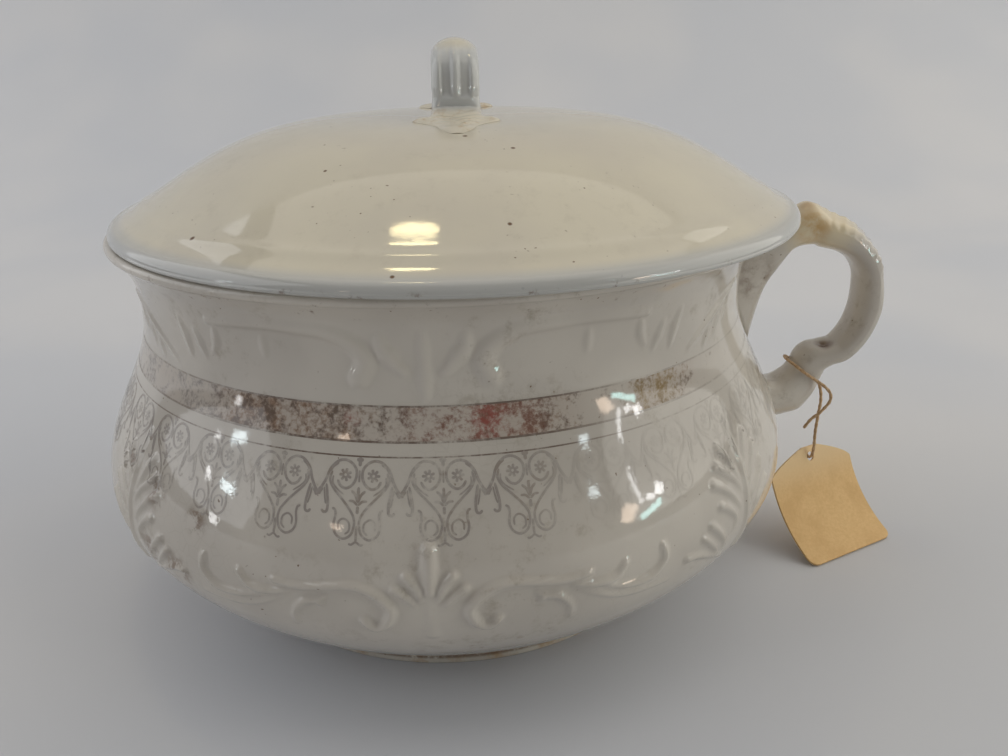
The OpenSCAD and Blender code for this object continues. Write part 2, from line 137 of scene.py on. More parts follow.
def smooth_line(points, steps):
    """Points of the smooth curve through the given ones, with a number of steps between each two."""
    p = np.asarray(points, float)
    last = len(p) - 1
    rows = []
    for i in range(last):
        a, b, c, d = p[max(i - 1, 0)], p[i], p[i + 1], p[min(i + 2, last)]
        for k in range(steps):
            u = k / steps
            rows.append(0.5 * (2 * b + (c - a) * u + (2 * a - 5 * b + 4 * c - d) * u**2
                               + (3 * b - a - 3 * c + d) * u**3))
    rows.append(p[last])
    return np.array(rows)


def headings(line):
    """Unit direction along a row of points, at each of them."""
    d = np.empty_like(line)
    d[1:-1] = line[2:] - line[:-2]
    d[0] = line[1] - line[0]
    d[-1] = line[-1] - line[-2]
    return d / np.linalg.norm(d, axis=1)[:, None]


def outward(line):
    """Unit direction to the left of a flat row of points, at each of them."""
    along = headings(line)
    return np.stack([-along[:, 1], along[:, 0]], 1)


def slope_of(curve, at):
    """Slope of a curve, given as a function, at some places."""
    return (curve(at + NIB) - curve(at - NIB)) / (2 * NIB)


def round_angles(sides):
    """Angles of even steps round a circle."""
    return 2 * np.pi * np.arange(sides) / sides


def power_of(v, q):
    return np.sign(v) * np.abs(v) ** q


def hump(v, middle, width):
    """A soft hump that is 1 at a middle."""
    return np.exp(-((v - middle) / width) ** 2)


def smooth_step(v, low, high):
    t = np.clip((v - low) / (high - low), 0, 1)
    return t * t * (3 - 2 * t)


def within(v, span):
    """1 inside a span, fading in between its first two values and out between its last two."""
    return smooth_step(v, *span[:2]) * (1 - smooth_step(v, *span[2:]))


def ring_faces(rings, sides):
    """Quads between closed rings of points, in order from the first ring to the last."""
    k = np.arange(sides)
    n = (k + 1) % sides
    rows = [np.stack([i * sides + k, i * sides + n, (i + 1) * sides + n, (i + 1) * sides + k], 1)
            for i in range(rings - 1)]
    return np.concatenate(rows).tolist()


def end_fans(rings, sides):
    """Triangles that close the first and the last ring on two extra points after the rings."""
    first = rings * sides
    base = (rings - 1) * sides
    fans = [(first, (k + 1) % sides, k) for k in range(sides)]
    fans += [(first + 1, base + k, base + (k + 1) % sides) for k in range(sides)]
    return fans


def add_object(name, data):
    """A new object in the scene."""
    item = bpy.data.objects.new(name, data)
    bpy.context.scene.collection.objects.link(item)
    return item


def add_mesh(name, points, faces, material):
    """A smooth-shaded mesh in the scene, from points in metres."""
    mesh = bpy.data.meshes.new(name)
    mesh.from_pydata(points, [], faces)
    mesh.update()
    mesh.shade_smooth()
    mesh.materials.append(material)
    return add_object(name, mesh)


def make_piece(name, points, faces, material, body, slot, *nodes):
    """A mesh piece from points in millimetres, riding on a body in place of CAD nodes."""
    piece = add_mesh(name, (np.asarray(points) * MM).tolist(), faces, material)
    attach(piece, body)
    if nodes:
        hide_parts(*nodes)
    return piece


def tube_piece(name, rings, material, body, slot, *nodes):
    """A closed tube through rings of points."""
    rings = np.asarray(rings)
    count, sides = rings.shape[:2]
    points = np.concatenate([rings.reshape(-1, 3), [rings[0].mean(0), rings[-1].mean(0)]])
    faces = ring_faces(count, sides) + end_fans(count, sides)
    return make_piece(name, points, faces, material, body, slot, *nodes)


# Camera at the photograph's place

CAMERA_AT = (5.45, -312.27, 191.78)
CAMERA_YAW = math.radians(2.86)
CAMERA_PITCH = math.radians(21.61)
CAMERA_ROLL = math.radians(-0.94)
CAMERA_LENS = 30.83
SENSOR_W = 36
CLIP_START = 0.01


def make_camera():
    flat = math.cos(CAMERA_PITCH)
    forward = Vector((math.sin(CAMERA_YAW) * flat, math.cos(CAMERA_YAW) * flat, -math.sin(CAMERA_PITCH)))
    level = forward.cross(Vector((0, 0, 1))).normalized()
    rise = level.cross(forward)
    right = level * math.cos(CAMERA_ROLL) + rise * math.sin(CAMERA_ROLL)
    up = rise * math.cos(CAMERA_ROLL) - level * math.sin(CAMERA_ROLL)
    turn = Matrix((right, up, -forward)).transposed().to_4x4()
    data = bpy.data.cameras.new("camera")
    data.lens = CAMERA_LENS
    data.sensor_width = SENSOR_W
    data.clip_start = CLIP_START
    camera = add_object("camera", data)
    camera.matrix_world = Matrix.Translation(Vector(CAMERA_AT) * MM) @ turn
    bpy.context.scene.camera = camera


# Materials

class Shader:
    """A node material that is built up by short calls, each giving back an output socket."""

    def __init__(self, name):
        self.material = bpy.data.materials.new(name)
        self.material.use_nodes = True
        self.tree = self.material.node_tree
        self.surface = self.tree.nodes["Principled BSDF"]
        self.place = self.node("TexCoord", {}).outputs["Object"]
        self.x, self.y, self.z = self.node("SeparateXYZ", {0: self.place}).outputs

    def put(self, value, socket):
        if isinstance(value, bpy.types.NodeSocket):
            self.tree.links.new(value, socket)
        elif isinstance(value, tuple) and len(value) == 3 and socket.type == "RGBA":
            socket.default_value = (*value, 1)
        else:
            socket.default_value = value

    def fill(self, node, inputs):
        """Sets or links inputs of a node, given by name or number."""
        for key, value in inputs.items():
            self.put(value, node.inputs[key])

    def node(self, kind, inputs, **settings):
        """A new node with its settings made and its inputs filled."""
        node = self.tree.nodes.new("ShaderNode" + kind)
        for name, setting in settings.items():
            setattr(node, name, setting)
        self.fill(node, inputs)
        return node

    def noise(self, size, detail=2.0, rough=0.5):
        """Cloudy value from 0 to 1 whose blotches are about size millimetres wide."""
        inputs = {"Vector": self.place, "Scale": 1 / (size * MM), "Detail": detail, "Roughness": rough}
        return self.node("TexNoise", inputs).outputs["Fac"]

    def cracks(self, size):
        """Distance to the nearest line of a net whose cells are about size millimetres wide."""
        inputs = {"Vector": self.place, "Scale": 1 / (size * MM)}
        return self.node("TexVoronoi", inputs, feature="DISTANCE_TO_EDGE").outputs["Distance"]

    def math(self, kind, a, b=0.0):
        return self.node("Math", {0: a, 1: b}, operation=kind).outputs[0]

    def rise(self, value, low, high):
        """0 below low, 1 above high, smooth between them. Runs downwards if low is above high."""
        inputs = {"Value": value, "From Min": min(low, high), "From Max": max(low, high),
                  "To Min": float(low > high), "To Max": float(low < high)}
        return self.node("MapRange", inputs, interpolation_type="SMOOTHSTEP").outputs[0]

    def rise_z(self, low, high):
        """Like rise, over heights in millimetres."""
        return self.rise(self.z, low * MM, high * MM)

    def between(self, value, low, high, edge):
        """1 between low and high, fading over an edge on both sides of each."""
        rising = self.rise(value, low - edge, low + edge)
        return self.times(rising, self.rise(value, high + edge, high - edge))

    def between_z(self, low, high, edge):
        """Like between, over heights in millimetres."""
        return self.between(self.z, low * MM, high * MM, edge * MM)

    def patches(self, size, low, high):
        """Ragged patches about size millimetres wide."""
        return self.rise(self.noise(size, 4, 0.7), low, high)

    def times(self, *values):
        out = values[0]
        for v in values[1:]:
            out = self.math("MULTIPLY", out, v)
        return out

    def mix(self, share, a, b):
        return self.node("Mix", {0: share, 6: a, 7: b}, data_type="RGBA").outputs[2]

    def stain(self, colour, tone, *shares):
        """A colour with a tone laid over it by the product of some shares."""
        return self.mix(self.times(*shares), colour, tone)

    def ramp(self, value, stops):
        """Value read off a row of (place, value) stops with places from 0 to 1, straight between them."""
        node = self.node("ValToRGB", {0: value})
        marks = node.color_ramp.elements
        while len(marks) < len(stops):
            marks.new(1)
        for mark, (place, level) in zip(marks, stops):
            mark.position = place
            mark.color = (level, level, level, 1)
        return node.outputs[0]

    def near(self, spot, radius, soft):
        """1 inside a ball about a spot given in millimetres, fading out over its soft share."""
        inputs = {0: self.place, 1: tuple(v * MM for v in spot)}
        gap = self.node("VectorMath", inputs, operation="DISTANCE").outputs["Value"]
        return self.rise(gap, radius * MM, radius * (1 - soft) * MM)

    def off_axis(self):
        """Distance from the upright axis of the bowl."""
        return self.math("SQRT", self.math("ADD", self.times(self.x, self.x), self.times(self.y, self.y)))

    def bump(self, height, depth):
        """Fine surface height, depth millimetres from low to high."""
        node = self.node("Bump", {"Strength": 1, "Distance": depth * MM, "Height": height})
        self.put(node.outputs[0], self.surface.inputs["Normal"])

    def finish(self, colour, roughness, ior=1.5, sheen=0.0):
        self.fill(self.surface, {"Base Color": colour, "Roughness": roughness, "IOR": ior,
                                 "Sheen Weight": sheen})
        return self.material


def srgb(r, g, b):
    """Linear colour from 0 to 255 screen values."""
    return tuple(v / 255 / 12.92 if v <= 10 else ((v / 255 + 0.055) / 1.055) ** 2.4 for v in (r, g, b))


BODY_WHITE = srgb(209, 202, 191)
BODY_GREY = srgb(195, 188, 178)
LID_CREAM = srgb(217, 209, 188)
LID_GREY = srgb(210, 202, 184)
# Painted reflection: pale cool colour laid on the lid's upright edge, not the glaze's own colour
EDGE_PAINTED_REFLECTION = srgb(184, 185, 184)
LOOP_WHITE = srgb(196, 197, 195)
CRAZE = srgb(150, 138, 118)
CLOUDED = srgb(158, 146, 128)
# Dark brown of real dirt, also used as painted shade in the ear handle's knuckle pit
DIRT_AND_SHADE = srgb(104, 74, 46)
STAIN = srgb(176, 140, 92)
THUMB_CREAM = srgb(226, 210, 176)
THUMB_TAN = srgb(206, 168, 112)
PRINT_GREY = srgb(102, 88, 88)
PRINT_BROWN = srgb(92, 66, 50)
BAND_WASH = srgb(172, 150, 134)
BAND_BROWN = srgb(130, 96, 68)
BAND_DARK = srgb(94, 72, 58)
BAND_RUST = srgb(134, 72, 54)
BAND_GREY = srgb(132, 126, 122)
BAND_RED = srgb(146, 54, 42)
BAND_GILT = srgb(150, 124, 62)

# Roughness of the clean glaze, and how much it rises where the glaze is smeared
GLAZE_ROUGHNESS = 0.035
GLAZE_SMEAR = 0.05
GLAZE_IOR = 1.52
BODY_CLOUDING = 0.6
LID_CLOUDING = 0.14
BODY_RIPPLE = 0.03
LID_RIPPLE = 0.012


def two_tone(shader, pale, dull):
    """Soft clouds of two near colours."""
    return shader.mix(shader.rise(shader.noise(46, 3), 0.35, 0.68), pale, dull)


def glaze_ground(shader, pale, dull, clouding):
    """Glaze colour with soft clouds, faint stains, fine crazing and pinhead specks."""
    colour = two_tone(shader, pale, dull)
    cloud = shader.rise(shader.noise(6, 6, 0.72), 0.5, 0.72)
    colour = shader.stain(colour, CLOUDED, cloud, shader.rise(shader.noise(38, 2), 0.4, 0.62), clouding)
    craze = shader.rise(shader.cracks(4.4), 0.035, 0.01)
    colour = shader.stain(colour, CRAZE, craze, shader.rise(shader.noise(60, 2), 0.48, 0.75), 0.12)
    speck = shader.rise(shader.noise(1.5, 1), 0.74, 0.79)
    return shader.stain(colour, DIRT_AND_SHADE, speck, shader.rise(shader.noise(24, 2), 0.48, 0.62), 0.85)


def glaze_finish(shader, colour, ripple):
    """Glossy finish whose surface ripples by a few hundredths of a millimetre."""
    roughness = shader.math("ADD", GLAZE_ROUGHNESS, shader.times(shader.noise(22, 3), GLAZE_SMEAR))
    shader.bump(shader.math("ADD", shader.noise(9, 2), shader.times(shader.noise(2.0, 2), 0.5)), ripple)
    return shader.finish(colour, roughness, GLAZE_IOR)


# Printed band: heights of its edges, their softness, and half the span along X over which wear is given
BAND_LOW = 93.6
BAND_HIGH = 102.6
BAND_EDGE = 0.25
BAND_SPAN = 110.0

# How much of the band's colour is left, from left to right: (millimetres along X, cover)
BAND_COVER = [
    (-105, 0.40), (-66, 0.46), (-58, 0.66), (-48, 0.72), (-39, 0.62), (-30, 0.70), (-23, 0.54), (-18, 0.42),
    (-11, 0.50), (-3, 0.48), (4, 0.42), (9, 0.62), (14, 0.70), (20, 0.56), (32, 0.50), (40, 0.22), (50, 0.18),
    (55, 0.58), (62, 0.58), (69, 0.42), (75, 0.12), (105, 0.04),
]

# Where along X the band turns rusty, and where it fades to grey
RUST_X = (-10, 26)
GREY_X = (-58, -70)

# Spots of red and gilt in the band, and of dirt in the relief: middle and radius
RED_SPOTS = [((-24, -103, 99), 3.4), ((11.5, -106, 98.5), 8)]
GILT_SPOTS = [((54, -91, 97), 9), ((62, -86, 99), 10)]
RELIEF_DIRT = [
    ((-85, -84, 69), 7), ((-98, -68, 72), 6), ((-90, -84, 51), 7), ((-71, -98, 67), 6), ((-79, -94, 49), 8),
]


def spots(shader, places, soft=0.7):
    """1 inside any of some balls, each given by its middle and its radius."""
    out = shader.near(*places[0], soft)
    for spot, radius in places[1:]:
        out = shader.math("MAXIMUM", out, shader.near(spot, radius, soft))
    return out


def along_x(shader, stops):
    """Value read off a row of (millimetres along X, value) stops."""
    place = shader.math("ADD", shader.times(shader.x, 0.5 / (BAND_SPAN * MM)), 0.5)
    return shader.ramp(place, [(0.5 + x / BAND_SPAN / 2, level) for x, level in stops])


def band_colour(shader, colour):
    """The worn colour of the printed band over a ground: patches of fine specks, brown, red and gilt."""
    outside = shader.rise(shader.off_axis(), (WAIST_R - 1.5) * MM, (WAIST_R - 0.5) * MM)
    inside = shader.times(shader.between_z(BAND_LOW, BAND_HIGH, BAND_EDGE), outside)
    cover = along_x(shader, BAND_COVER)
    field = shader.math("ADD", shader.noise(1.5, 5, 0.75), shader.times(shader.noise(6, 3), 0.7))
    field = shader.math("ADD", field, shader.times(cover, 0.6))
    tone = shader.mix(shader.rise(shader.noise(3, 3, 0.6), 0.44, 0.6), BAND_BROWN, BAND_DARK)
    rusty = shader.between(shader.x, RUST_X[0] * MM, RUST_X[1] * MM, 6 * MM)
    tone = shader.stain(tone, BAND_RUST, rusty, 0.6)
    tone = shader.stain(tone, BAND_GREY, shader.rise(shader.x, GREY_X[0] * MM, GREY_X[1] * MM))
    tone = shader.stain(tone, BAND_RED, spots(shader, RED_SPOTS, 0.85), shader.patches(2.2, 0.34, 0.52))
    tone = shader.stain(tone, BAND_GILT, spots(shader, GILT_SPOTS), 0.7)
    colour = shader.stain(colour, BAND_WASH, inside, cover, 0.55)
    return shader.stain(colour, tone, inside, shader.rise(field, 1.03, 1.4), 0.82)


def bowl_glaze():
    """The bowl's glaze, with the worn band, and dirt in the relief, at the foot and under the lip."""
    shader = Shader("bowl_glaze")
    colour = band_colour(shader, glaze_ground(shader, BODY_WHITE, BODY_GREY, BODY_CLOUDING))
    colour = shader.stain(colour, DIRT_AND_SHADE, spots(shader, RELIEF_DIRT, 0.8), shader.patches(5, 0.44, 0.6), 0.7)
    near_foot = shader.rise_z(2 * FOOT_H, FOOT_H - 1)
    colour = shader.stain(colour, STAIN, near_foot, shader.patches(9, 0.44, 0.66), 0.6)
    foot_line = shader.between_z(FOOT_H - 2.8, FOOT_H + 0.2, 0.6)
    colour = shader.stain(colour, DIRT_AND_SHADE, foot_line, shader.patches(5, 0.34, 0.52), 0.75)
    under_lip = shader.between_z(RIM_Z - 6, RIM_Z - 1, 2)
    colour = shader.stain(colour, DIRT_AND_SHADE, under_lip, shader.patches(4, 0.60, 0.72), 0.7)
    return glaze_finish(shader, colour, BODY_RIPPLE)


# How much of the frieze and of the lines is left, from left to right: (millimetres along X, share)
FRIEZE_LEFT = [
    (-105, 0.8), (-60, 0.85), (-40, 1.0), (12, 0.95), (24, 0.7), (34, 0.22), (46, 0.08), (62, 0.12),
    (74, 0.2), (105, 0.1),
]
LINES_LEFT = [(-105, 0.7), (-60, 0.6), (-45, 1.0), (28, 0.9), (45, 0.45), (80, 0.3), (105, 0.2)]
FRIEZE_STRENGTH = 0.54
LINES_STRENGTH = 0.85


def print_ink(name, ink, strength, left):
    """Thin print on the glaze, worn through in places and rubbed off by the shares given along X."""
    shader = Shader(name)
    kept = shader.math("ADD", shader.noise(2.4, 4, 0.7), shader.times(shader.noise(24, 2), 0.9))
    tone = shader.mix(shader.rise(shader.noise(7, 2), 0.5, 0.62), ink, PRINT_BROWN)
    ground = two_tone(shader, BODY_WHITE, BODY_GREY)
    colour = shader.stain(ground, tone, shader.rise(kept, 0.62, 1.12), along_x(shader, left), strength)
    return glaze_finish(shader, colour, BODY_RIPPLE)


# Bowl: profile, relief and print

def outer_radius(z):
    low = FOOT_R + FOOT_STEP + (BELLY_R - FOOT_R - FOOT_STEP) * np.sin(
        np.pi / 2 * (z - FOOT_H) / (BELLY_Z - FOOT_H))
    waist = WAIST_R + (BELLY_R - WAIST_R) * (1 + np.cos(np.pi * (z - BELLY_Z) / (WAIST_Z - BELLY_Z))) / 2
    flare = WAIST_R + (LIP_R - LIP_ROUND - WAIST_R) * ((z - WAIST_Z) / (LIP_Z - WAIST_Z)) ** 3
    return np.where(z < BELLY_Z, low, np.where(z < WAIST_Z, waist, flare))


def inner_radius(z):
    low = FLOOR_R + (BELLY_R - WALL - FLOOR_R) * np.sin(np.pi / 2 * (z - FLOOR_Z) / (BELLY_Z - FLOOR_Z))
    return np.where(z < BELLY_Z, low, outer_radius(z) - WALL * np.sqrt(1 + slope_of(outer_radius, z) ** 2))


# Places on the outside are given by an angle and by the distance up the wall from the foot
WALL_Z = np.linspace(FOOT_H, LIP_Z, 3000)
WALL_RUN = np.concatenate([[0], np.cumsum(np.hypot(np.diff(WALL_Z), np.diff(outer_radius(WALL_Z))))])
WALL_END = WALL_RUN[-1]


def wall_point(run):
    """Radius, height and outward direction of the wall at a distance up from the foot."""
    z = np.interp(run, WALL_RUN, WALL_Z)
    slope = slope_of(outer_radius, z)
    size = np.sqrt(1 + slope**2)
    return outer_radius(z), z, 1 / size, -slope / size


# Moulded relief of half a side, as strokes: places (degrees from the middle of the side, distance up the
# wall), half widths at the start, middle and end, and height. The other half is its mirror image.
RELIEF_FRONT = -92.5
RELIEF_STEPS = 8
RELIEF_FULLNESS = 1.3
RELIEF_BLEND = 4
RELIEF = [
    # palmette in the middle
    ([(0, 69), (0, 73.5), (0, 77.5), (0, 80.6)], (1.6, 2.7, 2.6), 1.8),
    ([(0, 54), (0, 60), (0, 71)], (2.6, 1.8, 1.4), 0.5),
    ([(1.0, 67.0), (1.9, 71.0), (2.9, 73.6)], (0.9, 1.4, 1.7), 1.5),
    ([(1.8, 65.2), (3.1, 68.0), (4.3, 69.9)], (0.9, 1.3, 1.6), 1.4),
    # scroll that curls in beside the palmette and runs out along the belly
    ([(8.2, 59.7), (7.2, 57.3), (5.8, 58.4), (5.0, 61.5), (4.8, 64), (5.9, 67), (7.7, 69.4), (10.2, 70.3),
      (13.7, 69.3), (17, 68.5), (20.2, 69.2)], (1.8, 1.8, 1.1), 1.6),
    ([(13.2, 66.5), (14.6, 64.9), (16.2, 64.0), (17.6, 60), (17.9, 54.4)], (0.8, 1.5, 0.6), 1.2),
    ([(13.7, 64.3), (14.0, 64.9)], (1.1, 1.2, 1.1), 1.1),
    ([(18, 67), (21, 65.5), (23.9, 66.1), (25.4, 69.6)], (0.8, 1.6, 1.1), 1.5),
    ([(22.5, 64), (25.8, 62), (29.4, 62.4), (31.6, 66.3), (31.4, 70.6)], (0.8, 1.7, 1.2), 1.5),
    ([(17.5, 67), (21, 62.5), (26, 58.5), (33, 57.4)], (0.5, 1.3, 0.6), 0.8),
    # acanthus spray near the handle, a stem with leaflets on both sides
    ([(50.2, 52), (50.4, 62), (50.4, 74), (50, 85), (49.2, 97)], (1.2, 1.7, 0.7), 0.9),
    ([(45.3, 54.1), (41, 58.6), (37.9, 61.6), (35.9, 62.2)], (0.6, 1.3, 1.5), 1.1),
    ([(43.4, 56), (42.4, 59.7), (40.6, 63.7), (39.2, 66.3)], (0.6, 1.3, 1.5), 1.1),
    ([(44.7, 57.8), (44.1, 61.8), (42.2, 66.5), (40.8, 69.0)], (0.6, 1.3, 1.6), 1.2),
    ([(46.5, 62.8), (47, 66.6), (45, 71.2), (43.2, 73.3)], (0.6, 1.4, 1.6), 1.2),
    ([(48.4, 69.3), (46.6, 74), (44.4, 78), (42.4, 80.5)], (0.6, 1.3, 1.6), 1.2),
    ([(49.2, 74.1), (47.5, 78.7), (45.5, 82.4), (43.7, 85.2)], (0.6, 1.3, 1.6), 1.2),
    ([(49.1, 76.8), (47.8, 82), (46.7, 86.6), (45.4, 90.0)], (0.6, 1.2, 1.5), 1.1),
    ([(51, 61.5), (54.4, 66.5), (57.6, 71)], (0.6, 1.3, 1.3), 1.1),
    ([(51, 67.2), (53.8, 72.6), (56.6, 78)], (0.6, 1.3, 1.3), 1.1),
    ([(50.8, 73), (53, 79), (55.2, 84.4)], (0.6, 1.2, 1.3), 1.1),
    ([(50.4, 78.7), (51.8, 84.3), (53.5, 89.8)], (0.6, 1.2, 1.3), 1.0),
    # scroll, leaves and feather on the neck, softer than the rest
    ([(9.4, 125.2), (8.3, 129.3), (9, 132.8), (10.8, 135.8), (13.8, 138.2), (18, 138.8), (24, 138.8),
      (34, 137)], (3.4, 3.2, 2.0), 1.4),
    ([(0, 120.4), (0, 125), (0, 129.6)], (1.6, 2.6, 1.8), 1.0),
    ([(0, 129), (0, 133.3), (0, 138.4)], (1.6, 2.4, 1.4), 0.9),
    ([(2.9, 127.1), (4.4, 130.4), (5.7, 133.9), (5.9, 137)], (1.8, 3.0, 1.8), 1.3),
    ([(24.0, 129.5), (24.0, 134.5)], (1.2, 1.8, 1.2), 0.5),
    ([(34.4, 127.4), (33.5, 130.9), (33.4, 134.3)], (1.1, 2.0, 1.2), 0.7),
    ([(36.4, 125.4), (37.4, 128.6), (38.4, 132.3)], (1.1, 2.0, 1.2), 0.7),
    ([(40.3, 124.7), (41, 129.3), (42.2, 134.5)], (1.1, 2.1, 1.2), 0.75),
    ([(45, 121), (51, 126.7), (57, 131.5), (62, 135)], (0.9, 2.1, 1.2), 0.85),
    ([(49.5, 119.5), (52.5, 126.5)], (0.8, 1.5, 0.9), 0.6),
    ([(53.5, 122), (56.2, 130.5)], (0.8, 1.5, 0.9), 0.6),
    ([(57.5, 125), (60, 134)], (0.8, 1.5, 0.9), 0.6),
]


def relief_height(angle, run):
    """Height of the relief at angles in degrees and distances up the wall, both as arrays of one shape."""
    turn = (angle - RELIEF_FRONT + 90) % 180 - 90
    mm_per_degree = np.radians(wall_point(run)[0])
    x = np.abs(turn) * mm_per_degree
    total = np.zeros(x.shape)
    for places, widths, height in RELIEF:
        line = smooth_line(places, RELIEF_STEPS)
        line[:, 0] *= np.radians(wall_point(line[:, 1])[0])
        share = np.linspace(0, 1, len(line))
        half = np.interp(share, (0, 0.5, 1), widths)
        reach = half.max()
        low, high = line.min(0) - reach, line.max(0) + reach
        inside = (x > low[0]) & (x < high[0]) & (run > low[1]) & (run < high[1])
        if not inside.any():
            continue
        px, py = x[inside], run[inside]
        best = np.zeros(px.shape)
        for a, b, wa, wb in zip(line[:-1], line[1:], half[:-1], half[1:]):
            d = b - a
            t = np.clip(((px - a[0]) * d[0] + (py - a[1]) * d[1]) / (d @ d), 0, 1)
            gap = np.hypot(px - a[0] - t * d[0], py - a[1] - t * d[1])
            wide = wa + (wb - wa) * t
            near = np.clip(1 - (gap / wide) ** 2, 0, 1)
            best = np.maximum(best, near**RELIEF_FULLNESS * wide / reach)
        total[inside] += (height * best) ** RELIEF_BLEND
    return total ** (1 / RELIEF_BLEND)


def wall_surface(angle, run, lift=0.0):
    """Points of the moulded wall, in millimetres, raised by lift."""
    r, z, out_r, out_z = wall_point(run)
    h = relief_height(angle, run) + lift
    a = np.radians(angle)
    return np.stack([(r + h * out_r) * np.cos(a), (r + h * out_r) * np.sin(a), z + h * out_z], -1)


# Columns of the bowl in degrees from the front (start, end and step), close where there is relief in view,
# and its rows up the wall (start, end and number), close where there is relief
BOWL_COLUMNS = [(-62, 62, 0.4), (62, 118, 1.4), (118, 242, 0.8), (242, 298, 1.4)]
BOWL_ROWS = [(0, 50, 18), (50, 99, 64), (99, 118, 8), (118, 142, 32)]
BOWL_TOP_ROWS = 4


def bowl_columns():
    return np.concatenate([np.arange(*part) for part in BOWL_COLUMNS]) + RELIEF_FRONT


def bowl_rows():
    rows = [np.linspace(*part, endpoint=False) for part in BOWL_ROWS]
    return np.concatenate(rows + [np.linspace(BOWL_ROWS[-1][1], WALL_END, BOWL_TOP_ROWS)])


def turned(profile, angles):
    """Rings of a turned profile of (radius, height) at angles in degrees."""
    a = np.radians(angles)
    p = np.asarray(profile, float)
    return np.stack([p[:, :1] * np.cos(a), p[:, :1] * np.sin(a), np.repeat(p[:, 1:], len(a), 1)], -1)


def round_corner(cx, cz, radius, start, end, count):
    """Points (radius, height) of an arc between two angles in degrees."""
    return [(cx + radius * math.cos(math.radians(t)), cz + radius * math.sin(math.radians(t)))
            for t in np.linspace(start, end, count)]


def make_bowl(material):
    angles = bowl_columns()
    inner_foot = FOOT_R - FOOT_W
    hollow_r = inner_foot - HOLLOW_SLANT
    under = [(1, FOOT_HOLLOW), (hollow_r - 3, FOOT_HOLLOW), (hollow_r, FOOT_HOLLOW)]
    under += round_corner(inner_foot + FOOT_EASE, FOOT_EASE, FOOT_EASE, 190, 270, 4)
    under += round_corner(FOOT_R - FOOT_EASE, FOOT_EASE, FOOT_EASE, 270, 360, 4)
    under += [(FOOT_R, FOOT_H - 2 * FOOT_EASE), (FOOT_R - FOOT_EASE, FOOT_H - FOOT_EASE)]
    run, angle = np.meshgrid(bowl_rows(), angles, indexing="ij")
    outside = wall_surface(angle, run)
    lip = round_corner(LIP_R - LIP_ROUND, RIM_Z - LIP_ROUND, LIP_ROUND, -60, 90, 8)
    mouth_r = float(inner_radius(LIP_Z))
    flat_r = LIP_R - LIP_ROUND - LIP_FLAT
    mouth = [(mouth_r + (flat_r - mouth_r) * (1 - math.cos(t)), LIP_Z + (RIM_Z - LIP_Z) * math.sin(t))
             for t in np.linspace(math.pi / 2, 0, 6)]
    inside_z = np.concatenate([np.linspace(LIP_Z, WAIST_Z, 5)[1:], np.linspace(WAIST_Z, BELLY_Z, 8)[1:],
                               np.linspace(BELLY_Z, FLOOR_Z, 10)[1:]])
    inside = [(float(inner_radius(z)), z) for z in inside_z] + [(FLOOR_R * 0.5, FLOOR_Z), (1, FLOOR_Z)]
    rings = np.concatenate([turned(under, angles), outside, turned(lip + mouth + inside, angles)])
    return tube_piece("bowl", rings, material, "pot", "body_glaze", "pot_body")


# Printed lines, by height and width: each goes round the bowl as a thin ribbon on the wall
PRINT_LIFT = 0.05
LINES = [(90.0, 0.42), (BAND_LOW, 0.6), (BAND_HIGH, 0.5)]
LINE_STEPS = 720


def ring_lines(material):
    angles = np.linspace(-180, 180, LINE_STEPS, endpoint=False)
    points = []
    faces = []
    for z, width in LINES:
        run = np.interp(z, WALL_Z, WALL_RUN)
        faces += [[len(points) + i for i in face] for face in ring_faces(2, LINE_STEPS)]
        for side in (-1, 1):
            points.extend(wall_surface(angles, np.full(angles.shape, run + side * width / 2), PRINT_LIFT))
    return make_piece("printed_lines", points, faces, material, "pot", "body_glaze")


# Frieze motif, right half: (millimetres from its middle, distance up the wall), then the width of the line
MOTIF_COUNT = 32
MOTIF_MIDDLE = -90.4
MOTIF_DRIFT = 0.3
DRIFT_SEED = 7
INK_SPREAD = 1.35
INK_STEPS = 4
MOTIF_HALF = [
    # ring round the rosette, and its tail down to the next motif
    ([(11.1, 94.4), (10.4, 95.8), (9.1, 98.1), (8.1, 100.7), (6.2, 102.9), (4.2, 103.5), (2.4, 102.9),
      (1.0, 101.3), (0.8, 99.2), (1.7, 97.2), (3.4, 96.1), (5.0, 96.7), (5.9, 98.2)], 0.55),
    ([(8.3, 100.2), (7.3, 101.7), (5.8, 102.8)], 0.7),
    # long curve from the ring down round the small circle
    ([(7.4, 100.4), (8.0, 98.2), (7.0, 96.0), (4.7, 93.6), (2.3, 90.9), (0.9, 88.6), (0.7, 86.4), (1.5, 84.1),
      (3.5, 83.0), (5.6, 84.1), (6.3, 86.3), (5.9, 88.8), (6.1, 90.3), (6.9, 90.8)], 0.5),
    ([(7.1, 99.2), (7.2, 97.4), (6.0, 95.9), (4.0, 94.4)], 0.35),
    ([(5.0, 85.4), (4.9, 87.3), (3.6, 88.2), (2.1, 87.2), (2.0, 85.2), (3.1, 84.2)], 0.42),
    # leaves at the side and in the middle
    ([(8.9, 96.9), (8.5, 94.3), (8.2, 91.9), (8.4, 89.9), (9.3, 89.5), (9.9, 90.2)], 0.55),
    ([(9.5, 96.0), (9.2, 93.6), (8.8, 91.6)], 0.35),
    ([(0.1, 92.6), (0.7, 94.4), (1.9, 95.6)], 0.55),
    ([(0.1, 91.8), (1.2, 92.8), (2.5, 92.9)], 0.5),
    ([(10.1, 95.9), (10.8, 94.9), (11.2, 94.0)], 0.95),
    ([(0.1, 82.4), (1.2, 81.6), (2.0, 81.8)], 0.45),
    ([(0.1, 103.8), (0.9, 103.6)], 0.7),
]
